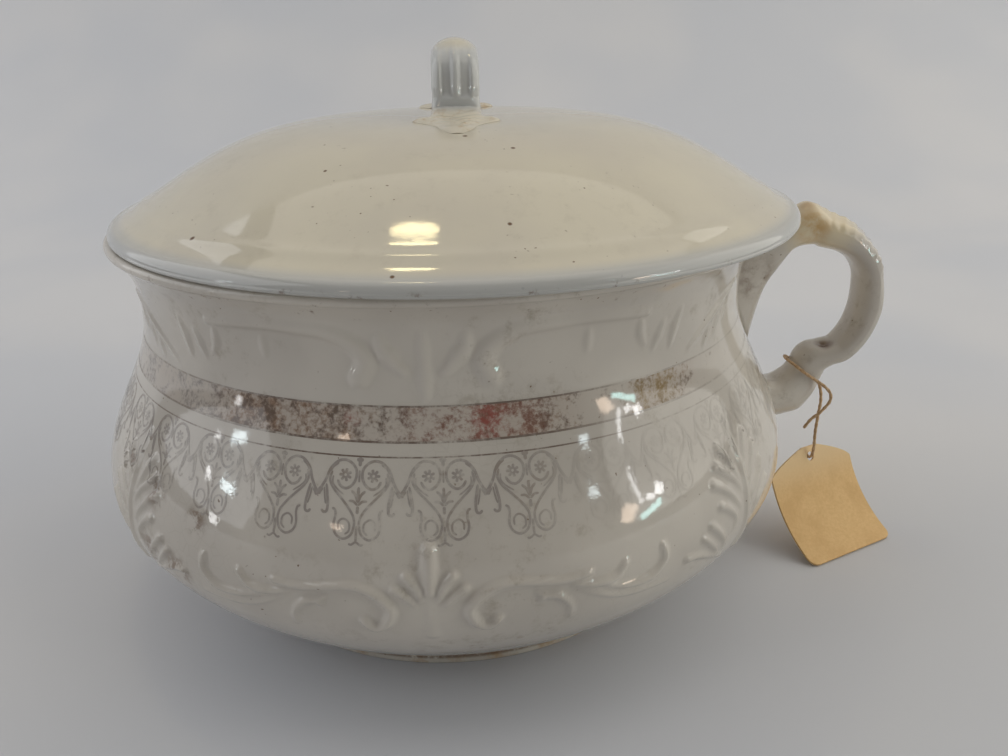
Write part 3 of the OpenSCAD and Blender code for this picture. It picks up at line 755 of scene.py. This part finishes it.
MOTIF_MIDLINE = [
    ([(0, 101), (0, 99.4), (0, 97.8)], 0.4),
    ([(0, 96.6), (0, 94.6), (0, 92.4)], 0.6),
    ([(0, 91.6), (0, 90.6), (0, 89.6)], 0.6),
    ([(0, 86.5), (0, 84.2), (0, 82)], 0.5),
    ([(0, 104.4), (0, 103.4), (0, 102)], 0.7),
]
ROSETTE_AT = (3.8, 99.6)
ROSETTE_REACH = (0.35, 1.1, 1.75)
ROSETTE_PETALS = 7
PETAL_WIDTH = 0.55


def ribbon(places, width):
    """Edge points of a thin ribbon along places, two for each step, and its quads."""
    line = smooth_line(places, INK_STEPS)
    steps = np.arange(len(line))
    taper = np.clip(np.minimum(steps, steps[::-1]) / 2 + 0.4, 0, 1)[:, None]
    side = outward(line) * taper * width / 2
    rows = np.stack([line - side, line + side], 1).reshape(-1, 2)
    faces = [[2 * i, 2 * i + 2, 2 * i + 3, 2 * i + 1] for i in range(len(line) - 1)]
    return rows, faces


def rosette_petals(sign):
    """Short strokes round the middle of a ring."""
    strokes = []
    for t in round_angles(ROSETTE_PETALS):
        petal = [(sign * (ROSETTE_AT[0] + q * math.cos(t)), ROSETTE_AT[1] + q * math.sin(t))
                 for q in ROSETTE_REACH]
        strokes.append((petal, PETAL_WIDTH))
    return strokes


def make_frieze(material):
    """Printed frieze under the band, one motif after the other round the bowl."""
    strokes = list(MOTIF_MIDLINE)
    for sign in (-1, 1):
        strokes += [([(sign * x, s) for x, s in places], width) for places, width in MOTIF_HALF]
        strokes += rosette_petals(sign)
    rows = []
    quads = []
    for places, width in strokes:
        p, f = ribbon(places, width * INK_SPREAD)
        quads += [[len(rows) + i for i in face] for face in f]
        rows.extend(p)
    rows = np.array(rows)
    drift = np.random.default_rng(DRIFT_SEED).normal(0, MOTIF_DRIFT, MOTIF_COUNT)
    middles = MOTIF_MIDDLE + 360 * np.arange(MOTIF_COUNT) / MOTIF_COUNT
    run = rows[:, 1] + drift[:, None]
    angle = middles[:, None] + np.degrees(rows[:, 0] / wall_point(run)[0])
    points = wall_surface(angle, run, PRINT_LIFT).reshape(-1, 3)
    faces = (np.array(quads) + len(rows) * np.arange(MOTIF_COUNT)[:, None, None]).reshape(-1, 4).tolist()
    return make_piece("frieze", points, faces, material, "pot", "body_glaze")


# Ear handle: stations close to the source's, swept with more rings and with finer moulding

EAR = [
    (0.195, 0.893, 5.6, 12.6, HANDLE_W * 0.53), (0.37, 0.969, 5.0, 6.4, HANDLE_W * 0.50),
    (0.52, 1.00, THUMB_RISE, 6.0, HANDLE_W * 0.48), (0.63, 1.00, 6.2, 7.2, HANDLE_W * 0.53),
    (0.77, 0.959, STRAP * 1.36, STRAP * 1.66, HANDLE_W * 0.54),
    (0.893, 0.867, STRAP * 1.26, STRAP * 1.34, HANDLE_W * 0.52),
    (0.972, 0.765, STRAP * 1.12, STRAP * 1.35, HANDLE_W * 0.5),
    (1.00, 0.655, STRAP, STRAP * 1.42, HANDLE_W * 0.5),
    (0.993, 0.509, STRAP, STRAP * 1.38, HANDLE_W * 0.5), (0.936, 0.371, STRAP, STRAP * 1.2, HANDLE_W * 0.5),
    (0.84, 0.268, STRAP * 1.1, STRAP * 1.15, HANDLE_W * 0.48),
    (0.744, 0.236, STRAP * 1.2, STRAP * 1.3, HANDLE_W * 0.45), (0.663, 0.199, NECK * 0.85, NECK, NECK * 1.05),
    (0.61, 0.13, NECK, NECK * 0.9, NECK), (0.556, 0.065, NECK * 1.25, NECK * 0.92, NECK * 1.08),
    (0.467, 0.0, NECK * 1.5, NECK * 0.95, NECK * 1.25),
]
EAR_STEPS = 9
EAR_SIDES = 72
STRAP_FLAT = 0.75
STRAP_SIDE = 0.85

# Stations between which the sharp crest, the moulding and the leaf cover fade in, and then fade out
ROOF_SPAN = (2.2, 3.2, 6.4, 8)
MOULDED_SPAN = (2.4, 3.6, 9.5, 11)
COVER_SPAN = (2.2, 3.2, 5.6, 6.6)

# Moulding across the strap: places in degrees round it, and heights
ROOF_SHARE = 0.6
BEAD_AT = 38
BEAD_W = 13
BEAD_RISE = 0.45
GROOVE_W = 26
GROOVE_DEPTH = 0.9
COVER_EDGE = (20, 34)
COVER_RISE = 0.75
LEAF_LOBES = 2.4
LEAF_LOBE_DEPTH = 14
VEIN_RISE = 0.22
VEIN_SLANT = 0.8

# Pit in the glaze at the knuckle, and the ends of the handle, which flare out into the roots
PIT_AT = (145.6, -2.6, 79.0)
PIT_R = 3.0
PIT_DEPTH = 2.0
ROOT_SINK = 0.25
FLARE_STEPS = 10
JOIN_REACH = 8
JOIN_ROUNDS = 14


def footprint(root, up, angles):
    """Outline of a root on the bowl, sunk a little into the glaze."""
    z0, h, w = root
    y = w / 2 * np.cos(angles)
    z = z0 + up * h / 2 * np.sin(angles)
    return np.stack([np.sqrt((outer_radius(z) - ROOT_SINK) ** 2 - y**2), y, z], 1)


def ear_rings():
    stations = smooth_line(EAR, EAR_STEPS)
    mid = np.stack([WAIST_R + stations[:, 0] * (HANDLE_REACH - STRAP - WAIST_R),
                    HANDLE_LOW + stations[:, 1] * (HANDLE_TOP - HANDLE_LOW)], 1)
    out = outward(mid)
    place = np.arange(len(mid)) / EAR_STEPS
    roof, moulded, leafy = (within(place, span) for span in (ROOF_SPAN, MOULDED_SPAN, COVER_SPAN))
    angles = round_angles(EAR_SIDES)
    sin, cos = np.sin(angles), np.cos(angles)
    degrees = np.degrees(angles)
    beads = hump(degrees, BEAD_AT, BEAD_W) + hump(degrees, 180 - BEAD_AT, BEAD_W)
    moulding = BEAD_RISE * beads - GROOVE_DEPTH * hump(degrees, 90, GROOVE_W)
    lean = 90 - np.abs(degrees - 90)
    rings = []
    for i, (_, _, thick_out, thick_in, half) in enumerate(stations):
        crest = sin + ROOF_SHARE * roof[i] * (1 - np.abs(cos) ** STRAP_SIDE - sin)
        n = np.where(sin > 0, thick_out * crest, thick_in * power_of(sin, STRAP_FLAT))
        lobe = LEAF_LOBE_DEPTH * abs(math.sin(math.pi * place[i] * LEAF_LOBES))
        cover = smooth_step(lean, COVER_EDGE[0] - lobe, COVER_EDGE[1] - lobe)
        vein = np.cos(2 * np.pi * (place[i] * LEAF_LOBES + np.abs(cos) * VEIN_SLANT))
        n = n + moulded[i] * moulding + leafy[i] * cover * (COVER_RISE + VEIN_RISE * vein)
        p = mid[i] + out[i] * n[:, None]
        ring = np.stack([p[:, 0], half * power_of(cos, STRAP_SIDE), p[:, 1]], 1)
        inward = np.array([mid[i, 0], 0, mid[i, 1]]) - ring
        pit = PIT_DEPTH * hump(np.linalg.norm(ring - np.array(PIT_AT), axis=1), 0, PIT_R)
        rings.append(ring + inward / np.linalg.norm(inward, axis=1)[:, None] * pit[:, None])
    return np.array(rings), angles


def flared(ring, foot):
    """Rings from a strap ring out to its footprint on the bowl."""
    return [ring + (foot - ring) * np.array([s, s * s, s * s])
            for s in np.linspace(0, 1, FLARE_STEPS + 1)[1:]]


def eased(rings, joins):
    """Rings whose bends are rounded off on both sides of each join."""
    for _ in range(JOIN_ROUNDS):
        for join in joins:
            k = np.arange(join - JOIN_REACH, join + JOIN_REACH)
            rings[k] = (rings[k - 1] + 2 * rings[k] + rings[k + 1]) / 4
    return rings


def make_ear(material):
    rings, angles = ear_rings()
    low = flared(rings[-1], footprint(ROOT_LOW, -1, angles))
    up = flared(rings[0], footprint(ROOT_UP, 1, angles))
    rings = eased(np.array(up[::-1] + list(rings) + low), (FLARE_STEPS, FLARE_STEPS + len(rings)))
    return tube_piece("ear_handle", rings, material, "pot", "body_glaze", "handle")


# Stains on the ear handle, and painted shade in the knuckle's pit: middle, radius, soft share, colour,
# strength, and whether they come in patches
EAR_STAINS_AND_SHADE = [
    ((137, -2, 131), 22, 0.5, THUMB_CREAM, 0.85, False),
    ((133.5, -8, 126), 9, 0.8, THUMB_TAN, 0.9, True),
    ((132.5, -3, 133), 4.5, 0.8, STAIN, 0.6, False),
    # Painted shade: the knuckle's pit is painted dark, standing in for the shade in the hollow
    (PIT_AT, 4.6, 0.7, DIRT_AND_SHADE, 0.95, False),
    ((113, -9, 108), 12, 0.8, DIRT_AND_SHADE, 0.6, True),
]


def ear_glaze():
    """The bowl's glaze with the tan stain on the thumb rest, dirt at the upper root and painted shade in the
    knuckle's pit.
    """
    shader = Shader("ear_glaze")
    colour = glaze_ground(shader, BODY_WHITE, BODY_GREY, BODY_CLOUDING)
    patchy = shader.rise(shader.noise(7, 4, 0.65), 0.34, 0.62)
    for spot, radius, soft, tone, strength, in_patches in EAR_STAINS_AND_SHADE:
        share = shader.near(spot, radius, soft)
        if in_patches:
            share = shader.times(share, patchy)
        colour = shader.stain(colour, tone, share, strength)
    return glaze_finish(shader, colour, BODY_RIPPLE)


# Lid: a turned dome with a rounded edge, a flat rest and a flange

# Low ridge near the edge of the dome
RIDGE_R = 107.0
RIDGE_W = 1.9
RIDGE_RISE = 0.3

# Steps of the lid: smallest ring, where the rows of the dome get close, numbers of rows on the dome's two
# parts and underneath, and degrees between columns
LID_MIDDLE = 0.5
LID_CLOSE_FROM = 99
LID_ROWS = (52, 36, 40)
LID_COLUMN = 1.25


def dome_height(r):
    low = math.cos(DOME_TURN)
    share = (np.cos(DOME_TURN * np.minimum(np.abs(r) / DOME_R, 1) ** DOME_FULLNESS) - low) / (1 - low)
    return LID_EDGE + (LID_H - LID_EDGE) * share + RIDGE_RISE * hump(r, RIDGE_R, RIDGE_W)


def dome_under(r):
    return dome_height(r) - LID_WALL * np.sqrt(1 + slope_of(dome_height, r) ** 2)


def make_lid(material):
    flange_r = float(inner_radius(LID_Z - FLANGE_H)) - SEAT_PLAY
    flange_in = flange_r - FLANGE_T
    ease_z = FLANGE_EASE - FLANGE_H
    top_r = np.concatenate([[LID_MIDDLE], np.linspace(3, LID_CLOSE_FROM, LID_ROWS[0], endpoint=False),
                            np.linspace(LID_CLOSE_FROM, DOME_R, LID_ROWS[1])])
    profile = [(r, float(dome_height(r))) for r in top_r]
    profile += round_corner(DOME_R, LID_EDGE - EDGE_ROUND, EDGE_ROUND, 78, 0, 10)
    profile += round_corner(LID_R - EDGE_EASE, EDGE_EASE, EDGE_EASE, 0, -90, 5)
    profile += [(flange_r + 0.8, 0), (flange_r, -0.4)]
    profile += round_corner(flange_r - FLANGE_EASE, ease_z, FLANGE_EASE, 0, -90, 5)
    profile += round_corner(flange_in + FLANGE_EASE, ease_z, FLANGE_EASE, -90, -180, 5)
    profile += [(r, float(dome_under(r))) for r in np.linspace(flange_in, LID_MIDDLE, LID_ROWS[2])]
    rings = turned(profile[::-1], np.arange(0, 360, LID_COLUMN)) + np.array([LID_SHIFT, 0, LID_Z])
    return tube_piece("lid_dome", rings, material, "lid", "lid_glaze", "lid")


# Brown pinholes in the lid's glaze: place and radius
PINHOLES = [
    ((-65.7, -79.4, 142.5), 1.1),
    ((21.4, -64.7, 162.6), 0.9),
    ((18.3, -97.3, 148.0), 0.8),
    ((-44.9, -101.8, 137.9), 0.9),
    ((11.0, -113.7, 135.7), 1.2),
    ((8.2, -54.9, 165.2), 1.0),
    ((-30.4, -70.0, 158.3), 0.7),
    ((-10.7, -111.9, 139.1), 0.8),
]


def lid_glaze():
    """Warm cream glaze with a paler, cooler painted reflection on the edge, brown pinholes and dirt."""
    shader = Shader("lid_glaze")
    colour = glaze_ground(shader, LID_CREAM, LID_GREY, LID_CLOUDING)
    # Painted reflection: the upright edge is painted paler and cooler, standing in for the surroundings it
    # mirrors
    colour = shader.stain(colour, EDGE_PAINTED_REFLECTION, shader.rise_z(LID_Z + 6, LID_Z + 3.5), 0.85)
    colour = shader.stain(colour, DIRT_AND_SHADE, spots(shader, PINHOLES, 0.6))
    rim = shader.rise_z(LID_Z + 2.6, LID_Z + 0.6)
    colour = shader.stain(colour, DIRT_AND_SHADE, rim, shader.patches(5, 0.58, 0.70), 0.7)
    return glaze_finish(shader, colour, LID_RIPPLE)


# Loop on the lid: stations close to the source's, with narrower leaf ends and finer moulding

LOOP_Z = LID_Z + LID_H
LIMB = LOOP_LEN / 2 - LOOP_T / 2
LOOP_MID_H = LOOP_H - LOOP_T * 0.6
LEAF_TIP = LOOP_LEN / 2 + LEAF_REACH
LOOP_FRONT = [
    (-LEAF_TIP, -2.6, 1.0, 0.8, LEAF_W * 0.05),
    (-LEAF_TIP + LEAF_REACH * 0.16, -2.1, 1.9, 1.2, LEAF_W * 0.13),
    (-LEAF_TIP + LEAF_REACH * 0.40, -1.5, 2.6, 1.6, LEAF_W * 0.19),
    (-LEAF_TIP + LEAF_REACH * 0.62, -1.0, 2.6, 2.0, LEAF_W * 0.30),
    (-LEAF_TIP + LEAF_REACH * 0.84, -0.2, 2.8, 2.6, LEAF_W * 0.41),
    (-LIMB - 2.2, 1.8, 2.8, 3.4, LOOP_W * 0.62), (-LIMB - 0.4, 5.6, 3.6, 3.6, LOOP_W * 0.5),
    (-LIMB, LOOP_MID_H * 0.50, LOOP_T * 0.52, LOOP_T * 0.48, LOOP_W * 0.5),
    (-LIMB * 0.90, LOOP_MID_H * 0.78, LOOP_T * 0.54, LOOP_T * 0.46, LOOP_W * 0.5),
    (-LIMB * 0.56, LOOP_MID_H * 0.96, LOOP_T * 0.57, LOOP_T * 0.43, LOOP_W * 0.5),
    (0, LOOP_MID_H, LOOP_T * 0.6, LOOP_T * 0.4, LOOP_W * 0.5),
]
LOOP_STEPS = 9
LOOP_SIDES = 96
LOOP_CROWN = 0.9
LOOP_FLAT = 0.7
LOOP_SIDE = 0.8

# Stations over which the leaf end stops, its sides leave the dome, its tip thickens, and the limb and then
# the crown begin
LEAF_TO = (4.2, 5.6)
DRAPE_TO = (5.6, 6.2)
TIP_TO = (0, 1.2)
LIMB_FROM = (5.9, 6.8)
CROWN_FROM = (7.4, 9.2)

# Panels in the limbs, veins, tips and side lobes of the leaf ends, and where these lie on the dome
PANEL_SPAN = (0.08, 0.2, 0.52, 0.7)
PANEL_DEPTH = 1.2
LEAF_VEIN = 0.1
LEAF_TIP_T = 0.12
LOBE_AT = (11.0, 30.0)
LOBE_R = 3.6
LOBE_RISE = 0.8
DRAPE_X = (LOOP_W * 0.42, LOOP_W * 0.62)

# Dirty corners where the limbs meet the dome: middle and radius
LOOP_CORNERS = [((LID_SHIFT + side * 8, end * 22, LOOP_Z + 1), 3.6) for side in (-1, 1) for end in (-1, 1)]


def make_loop(material):
    back = [(-s[0], *s[1:]) for s in LOOP_FRONT[-2::-1]]
    stations = smooth_line(LOOP_FRONT + back, LOOP_STEPS)
    mid = stations[:, :2]
    out = outward(mid)
    angles = round_angles(LOOP_SIDES)
    sin, cos = np.sin(angles), np.cos(angles)
    steps = np.arange(len(mid))
    place = np.minimum(steps, steps[::-1]) / LOOP_STEPS
    rings = []
    for i, (_, _, thick_out, thick_in, half) in enumerate(stations):
        crown = smooth_step(place[i], *CROWN_FROM)
        limb = smooth_step(place[i], *LIMB_FROM) * (1 - crown)
        leaf = 1 - smooth_step(place[i], *LEAF_TO)
        across = power_of(cos, LOOP_SIDE + 0.25 * crown)
        off = np.abs(across)
        vein = LEAF_VEIN * np.cos(2 * np.pi * (off * 2.5 - place[i] * 1.2))
        outside = thick_out * power_of(sin, LOOP_CROWN + 0.8 * leaf + 0.35 * crown)
        outside = outside + leaf * vein - limb * PANEL_DEPTH * within(off, PANEL_SPAN)
        n = np.where(sin > 0, outside, thick_in * power_of(sin, LOOP_FLAT))
        x = half * across
        y = mid[i, 0] + out[i, 0] * n
        z = LID_H + mid[i, 1] + out[i, 1] * n
        tip = LEAF_TIP_T + (1 - LEAF_TIP_T) * smooth_step(place[i], *TIP_TO)
        lobe = hump(np.hypot(np.abs(x) - LOBE_AT[0], np.abs(y) - LOBE_AT[1]), 0, LOBE_R)
        seat = dome_height(np.hypot(x, y)) + LEAF_GAP + LEAF_T * tip * np.maximum(sin, 0) ** (1 + leaf)
        seat = seat + LOBE_RISE * lobe * smooth_step(sin, 0, 0.35)
        drape = smooth_step(np.abs(x), *DRAPE_X) * (1 - smooth_step(place[i], *DRAPE_TO))
        rings.append(np.stack([x, y, (1 - drape) * np.maximum(z, seat) + drape * seat], 1))
    rings = np.array(rings[::-1]) + np.array([LID_SHIFT, 0, LID_Z])
    return tube_piece("lid_loop", rings, material, "lid", "lid_glaze", "lid_handle")


def loop_glaze():
    """White glaze on the loop, the lid's cream on its leaf ends and top, and dirt where it meets the dome."""
    shader = Shader("loop_glaze")
    ground = glaze_ground(shader, LID_CREAM, LID_GREY, LID_CLOUDING)
    colour = shader.stain(ground, LOOP_WHITE, shader.rise_z(LOOP_Z + 1.5, LOOP_Z + 4.5))
    colour = shader.stain(colour, LID_CREAM, shader.rise_z(LOOP_Z + LOOP_H - 5, LOOP_Z + LOOP_H - 1))
    base = shader.between_z(LOOP_Z - 1, LOOP_Z + 3, 1.5)
    colour = shader.stain(colour, STAIN, base, shader.patches(6, 0.5, 0.66), 0.6)
    specks = shader.rise(shader.noise(3, 3, 0.7), 0.36, 0.6)
    colour = shader.stain(colour, DIRT_AND_SHADE, spots(shader, LOOP_CORNERS, 0.8), specks, 0.8)
    return glaze_finish(shader, colour, LID_RIPPLE)


# String: two twisted strands along the route

STRING_STEPS = 14
STRING_SIDES = 14
STRING_START_SIDE = (0.3, 0.9, -0.3)
STRAND_DIP = 0.26
TWIST_MM = 2.6
TWINE_BROWN = srgb(168, 134, 98)
TWINE_PALE = srgb(212, 180, 140)


def make_string(material):
    """The string's piece, and its path in metres."""
    line = smooth_line(STRING_ROUTE, STRING_STEPS)
    runs = np.concatenate([[0], np.cumsum(np.linalg.norm(np.diff(line, axis=0), axis=1))])
    angles = round_angles(STRING_SIDES)
    side = np.array(STRING_START_SIDE)
    rings = []
    for p, t, run in zip(line, headings(line), runs):
        side = side - t * (side @ t)
        side = side / np.linalg.norm(side)
        lobes = np.abs(np.cos(angles - np.pi * run / TWIST_MM))
        radius = STRING_D / 2 * (1 - STRAND_DIP + STRAND_DIP * lobes)
        around = np.cos(angles)[:, None] * side + np.sin(angles)[:, None] * np.cross(t, side)
        rings.append(p + radius[:, None] * around)
    return tube_piece("string", rings, material, "pot", "twine", "tag_string"), line * MM


def twine():
    shader = Shader("twine")
    fibre = shader.noise(0.5, 3, 0.6)
    colour = shader.mix(shader.rise(fibre, 0.35, 0.65), TWINE_BROWN, TWINE_PALE)
    shader.bump(fibre, 0.1)
    return shader.finish(colour, 0.9, sheen=0.3)


# Card tag: straight at the top and bent forward below

TAG_LEN = TAG_FLAT + TAG_BEND * TAG_SWEEP
TAG_FACING = TAG_TURN - math.pi / 2
TAG_CLIP_CURVE = 1.5
CARD_ROWS = (24, 34, 10)
CARD_COLUMNS = 41
PUNCH_SIDES = 32
PUNCH_REACH = 3
CARD_TAN = srgb(233, 196, 140)
CARD_SHADE = srgb(223, 184, 127)
CARD_BLOTCH = srgb(209, 168, 112)
# Paler tone painted on the card's upper part as painted light
CARD_TOP_PAINTED_LIGHT = srgb(236, 206, 160)


def tag_side(s, n):
    """Forward and down from the card's top edge, s along it and n off its back."""
    a = TAG_LEAN + np.maximum(s - TAG_FLAT, 0) / TAG_BEND
    flat = np.minimum(s, TAG_FLAT)
    forward = flat * math.sin(TAG_LEAN) + TAG_BEND * (math.cos(TAG_LEAN) - np.cos(a)) + n * np.cos(a)
    down = -flat * math.cos(TAG_LEAN) - TAG_BEND * (np.sin(a) - math.sin(TAG_LEAN)) + n * np.sin(a)
    return forward, down


def tag_half_width(s):
    """Half the card's width at a distance from its top edge, with clipped and rounded corners."""
    top = TAG_W / 2 - TAG_CLIP_W * np.clip(1 - s / TAG_CLIP_H, 0, 1) ** TAG_CLIP_CURVE
    into = np.clip(s - (TAG_LEN - TAG_CORNER), 0, TAG_CORNER)
    return top - TAG_CORNER + np.sqrt(np.maximum(TAG_CORNER**2 - into**2, 0))


def tag_point(s, n, w):
    """Points of the card, s down from its top edge, n off its back and w to the side."""
    forward, down = tag_side(s, n)
    forward = forward - tag_side(TAG_HOLE_IN, 0)[0]
    x = TAG_PLACE[0] + forward * math.cos(TAG_FACING) - w * math.sin(TAG_FACING)
    y = TAG_PLACE[1] + forward * math.sin(TAG_FACING) + w * math.cos(TAG_FACING)
    top = TAG_REST - min(tag_side(TAG_LEN, 0)[1], tag_side(TAG_LEN, TAG_T)[1])
    return np.stack([x, y, top + down], -1)


def make_card(material):
    clipped = TAG_CLIP_H + 2
    straight = TAG_LEN - TAG_CORNER
    rows = np.concatenate([np.linspace(0, clipped, CARD_ROWS[0], endpoint=False),
                           np.linspace(clipped, straight, CARD_ROWS[1], endpoint=False),
                           straight + TAG_CORNER * np.sin(np.linspace(0, np.pi / 2, CARD_ROWS[2]))])
    s, u = np.meshgrid(rows, np.linspace(-1, 1, CARD_COLUMNS), indexing="ij")
    sheets = [tag_point(s, n, u * tag_half_width(s)).reshape(-1, 3) for n in (0, TAG_T)]
    grid = np.arange(s.size).reshape(s.shape)
    quads = np.stack([grid[:-1, :-1], grid[:-1, 1:], grid[1:, 1:], grid[1:, :-1]], -1).reshape(-1, 4)
    rim = np.concatenate([grid[0, :], grid[1:, -1], grid[-1, -2::-1], grid[-2:0:-1, 0]])
    wall = np.stack([rim, np.roll(rim, -1), np.roll(rim, -1) + s.size, rim + s.size], 1)
    faces = quads[:, ::-1].tolist() + (quads + s.size).tolist() + wall.tolist()
    piece = make_piece("card_tag", np.concatenate(sheets), faces, material, "pot", "card", "paper_tag")
    punch_hole(piece)
    return piece


def punch_hole(piece):
    """Cuts the string's hole through the card, square to it."""
    spot = Vector(tag_point(TAG_HOLE_IN, TAG_T / 2, 0)) * MM
    flat = math.cos(TAG_LEAN)
    square = Vector((flat * math.cos(TAG_FACING), flat * math.sin(TAG_FACING), math.sin(TAG_LEAN)))
    hole_r = TAG_HOLE / 2 * MM
    points = [(hole_r * math.cos(t), hole_r * math.sin(t), h * MM)
              for h in (-PUNCH_REACH, PUNCH_REACH) for t in round_angles(PUNCH_SIDES)]
    ends = [list(range(PUNCH_SIDES))[::-1], list(range(PUNCH_SIDES, 2 * PUNCH_SIDES))]
    faces = ring_faces(2, PUNCH_SIDES) + ends
    mesh = bpy.data.meshes.new("punch")
    mesh.from_pydata(points, [], faces)
    punch = add_object("punch", mesh)
    punch.matrix_world = Matrix.Translation(spot) @ square.to_track_quat("Z", "Y").to_matrix().to_4x4()
    cut = piece.modifiers.new("hole", "BOOLEAN")
    cut.object = punch
    cut.operation = "DIFFERENCE"
    cut.solver = "EXACT"
    bpy.context.view_layer.update()
    view = bpy.context.evaluated_depsgraph_get()
    done = bpy.data.meshes.new_from_object(piece.evaluated_get(view))
    piece.modifiers.clear()
    piece.data = done
    bpy.data.objects.remove(punch)
    for polygon in piece.data.polygons:
        polygon.use_smooth = False


def card_stock():
    shader = Shader("card_stock")
    fibre = shader.noise(1.1, 5, 0.65)
    colour = shader.mix(shader.rise(fibre, 0.3, 0.7), CARD_TAN, CARD_SHADE)
    colour = shader.stain(colour, CARD_BLOTCH, shader.rise(shader.noise(14, 3), 0.45, 0.7), 0.5)
    # Painted light: the upper part of the card is painted paler, for how light falls on its upright top
    colour = shader.stain(colour, CARD_TOP_PAINTED_LIGHT, shader.rise_z(18, 34))
    shader.bump(fibre, 0.06)
    return shader.finish(colour, 0.85)


# Floor, backdrop and light

FLOOR_COLOUR = srgb(210, 210, 212)
FLOOR_SHADE = srgb(202, 204, 209)

# The stage in metres: half its width, its front edge, the bend from floor to backdrop, and its top
STAGE_HALF = 16.0
STAGE_FRONT = -6.0
BEND_AT = 0.55
BEND_R = 0.5
BEND_STEPS = 24
STAGE_TOP = 2.6


def stage_paint():
    shader = Shader("backdrop")
    colour = shader.mix(shader.rise(shader.noise(260, 2), 0.35, 0.65), FLOOR_COLOUR, FLOOR_SHADE)
    return shader.finish(colour, 0.9)


def make_stage(material):
    """Floor that sweeps up into a backdrop behind the pot."""
    bend = [(BEND_AT + BEND_R * math.sin(t), BEND_R - BEND_R * math.cos(t))
            for t in np.linspace(0, np.pi / 2, BEND_STEPS)]
    side = [(STAGE_FRONT, 0), *bend, (BEND_AT + BEND_R, STAGE_TOP)]
    points = [(x, y, z) for y, z in side for x in (-STAGE_HALF, STAGE_HALF)]
    faces = [[2 * i, 2 * i + 1, 2 * i + 3, 2 * i + 2] for i in range(len(side) - 1)]
    add_mesh("backdrop", points, faces, material)


# Colours of the light, and the world's own light
CYAN = (0.55, 0.96, 0.92)
PALE_BLUE = (0.84, 0.97, 1.0)
PLAIN = (1.0, 1.0, 1.0)
WARM = (1.0, 0.78, 0.6)
WORLD_COLOUR = (0.95, 0.96, 1.0, 1)
WORLD_STRENGTH = 0.115

# Lamps in metres: place, what they face, size, turn in degrees, radiance and colour
MIDDLE = (0, 0, 0.09)
BROAD_LAMPS = [
    ("ceiling", (0.15, 0.2, 1.7), (0.15, 0.15, 0), (2.4, 1.7), 0, 0.76, (1.0, 0.95, 0.87)),
    ("right_side", (1.55, -0.05, 0.85), MIDDLE, (2.4, 1.5), 0, 1.38, (1.0, 0.97, 0.90)),
    ("left_side", (-1.55, 0.15, 0.85), MIDDLE, (2.4, 1.5), 0, 1.3, (0.95, 0.97, 1.0)),
]
OVAL_LAMP = ("lamp", (-0.1775, 0.262, 1.387), (-0.005, -0.099, 0.147), (0.2, 0.049), -37, 14,
             (1.0, 0.84, 0.45))

# Small panes that the glaze mirrors, given in the same way
PANES = [
    ("pane_strip", (1.21, -0.69, 0.18), (0.056, -0.106, 0.069), (0.226, 0.06), 18, 11, CYAN),
    ("pane_blob", (1.25, -0.58, 0.30), (0.059, -0.102, 0.074), (0.07, 0.07), -29, 14, PLAIN),
    ("pane_dot", (1.21, -0.66, 0.29), (0.056, -0.105, 0.073), (0.07, 0.05), -29, 12, PLAIN),
    ("pane_tan", (1.11, -0.84, 0.24), (0.049, -0.109, 0.070), (0.11, 0.16), -29, 9, WARM),
    ("pane_line", (1.15, -0.73, 0.37), (0.052, -0.106, 0.075), (0.185, 0.03), -84, 10, PLAIN),
    ("pane_front", (0.94, -0.96, 0.486), (0.039, -0.107, 0.081), (0.07, 0.046), -10, 12, PALE_BLUE),
    ("pane_left", (-1.28, -0.45, 0.336), (-0.059, -0.098, 0.080), (0.13, 0.038), 8, 14, PALE_BLUE),
    ("pane_left_side", (-1.34, -0.26, 0.30), (-0.067, -0.094, 0.080), (0.05, 0.018), 0, 12, PLAIN),
    ("pane_left_low", (-1.32, -0.42, 0.10), (-0.065, -0.101, 0.069), (0.06, 0.09), 0, 9, PLAIN),
    ("pane_warm", (-0.76, -1.13, 0.41), (-0.027, -0.105, 0.095), (0.08, 0.05), 0, 9, WARM),
]


def add_lamp(name, place, aim, size, turn, radiance, colour, shape="RECTANGLE"):
    """A flat lamp of a plain radiance, facing aim and turned in its own plane by degrees."""
    data = bpy.data.lights.new(name, "AREA")
    data.shape = shape
    data.size, data.size_y = size
    data.energy = radiance * math.pi * size[0] * size[1]
    data.color = colour
    lamp = add_object(name, data)
    lamp.location = place
    facing = (Vector(aim) - Vector(place)).to_track_quat("-Z", "Y")
    lamp.rotation_euler = (facing @ Quaternion((0, 0, 1), math.radians(turn))).to_euler()


def make_light():
    """A broad dim ceiling, soft light from both sides, and the oval lamp and panes that the glaze mirrors."""
    world = bpy.data.worlds.new("room")
    world.use_nodes = True
    world.node_tree.nodes["Background"].inputs["Color"].default_value = WORLD_COLOUR
    world.node_tree.nodes["Background"].inputs["Strength"].default_value = WORLD_STRENGTH
    bpy.context.scene.world = world
    for lamp in BROAD_LAMPS:
        add_lamp(*lamp)
    add_lamp(*OVAL_LAMP, shape="ELLIPSE")
    for pane in PANES:
        add_lamp(*pane)


# Everything in its place

make_camera()
string, string_path = make_string(twine())
card = make_card(card_stock())

make_bowl(bowl_glaze())
ring_lines(print_ink("line_ink", PRINT_BROWN, LINES_STRENGTH, LINES_LEFT))
make_frieze(print_ink("frieze_ink", PRINT_GREY, FRIEZE_STRENGTH, FRIEZE_LEFT))
make_ear(ear_glaze())
make_lid(lid_glaze())
make_loop(loop_glaze())
make_stage(stage_paint())
make_light()

bpy.context.scene.view_settings.view_transform = "Standard"
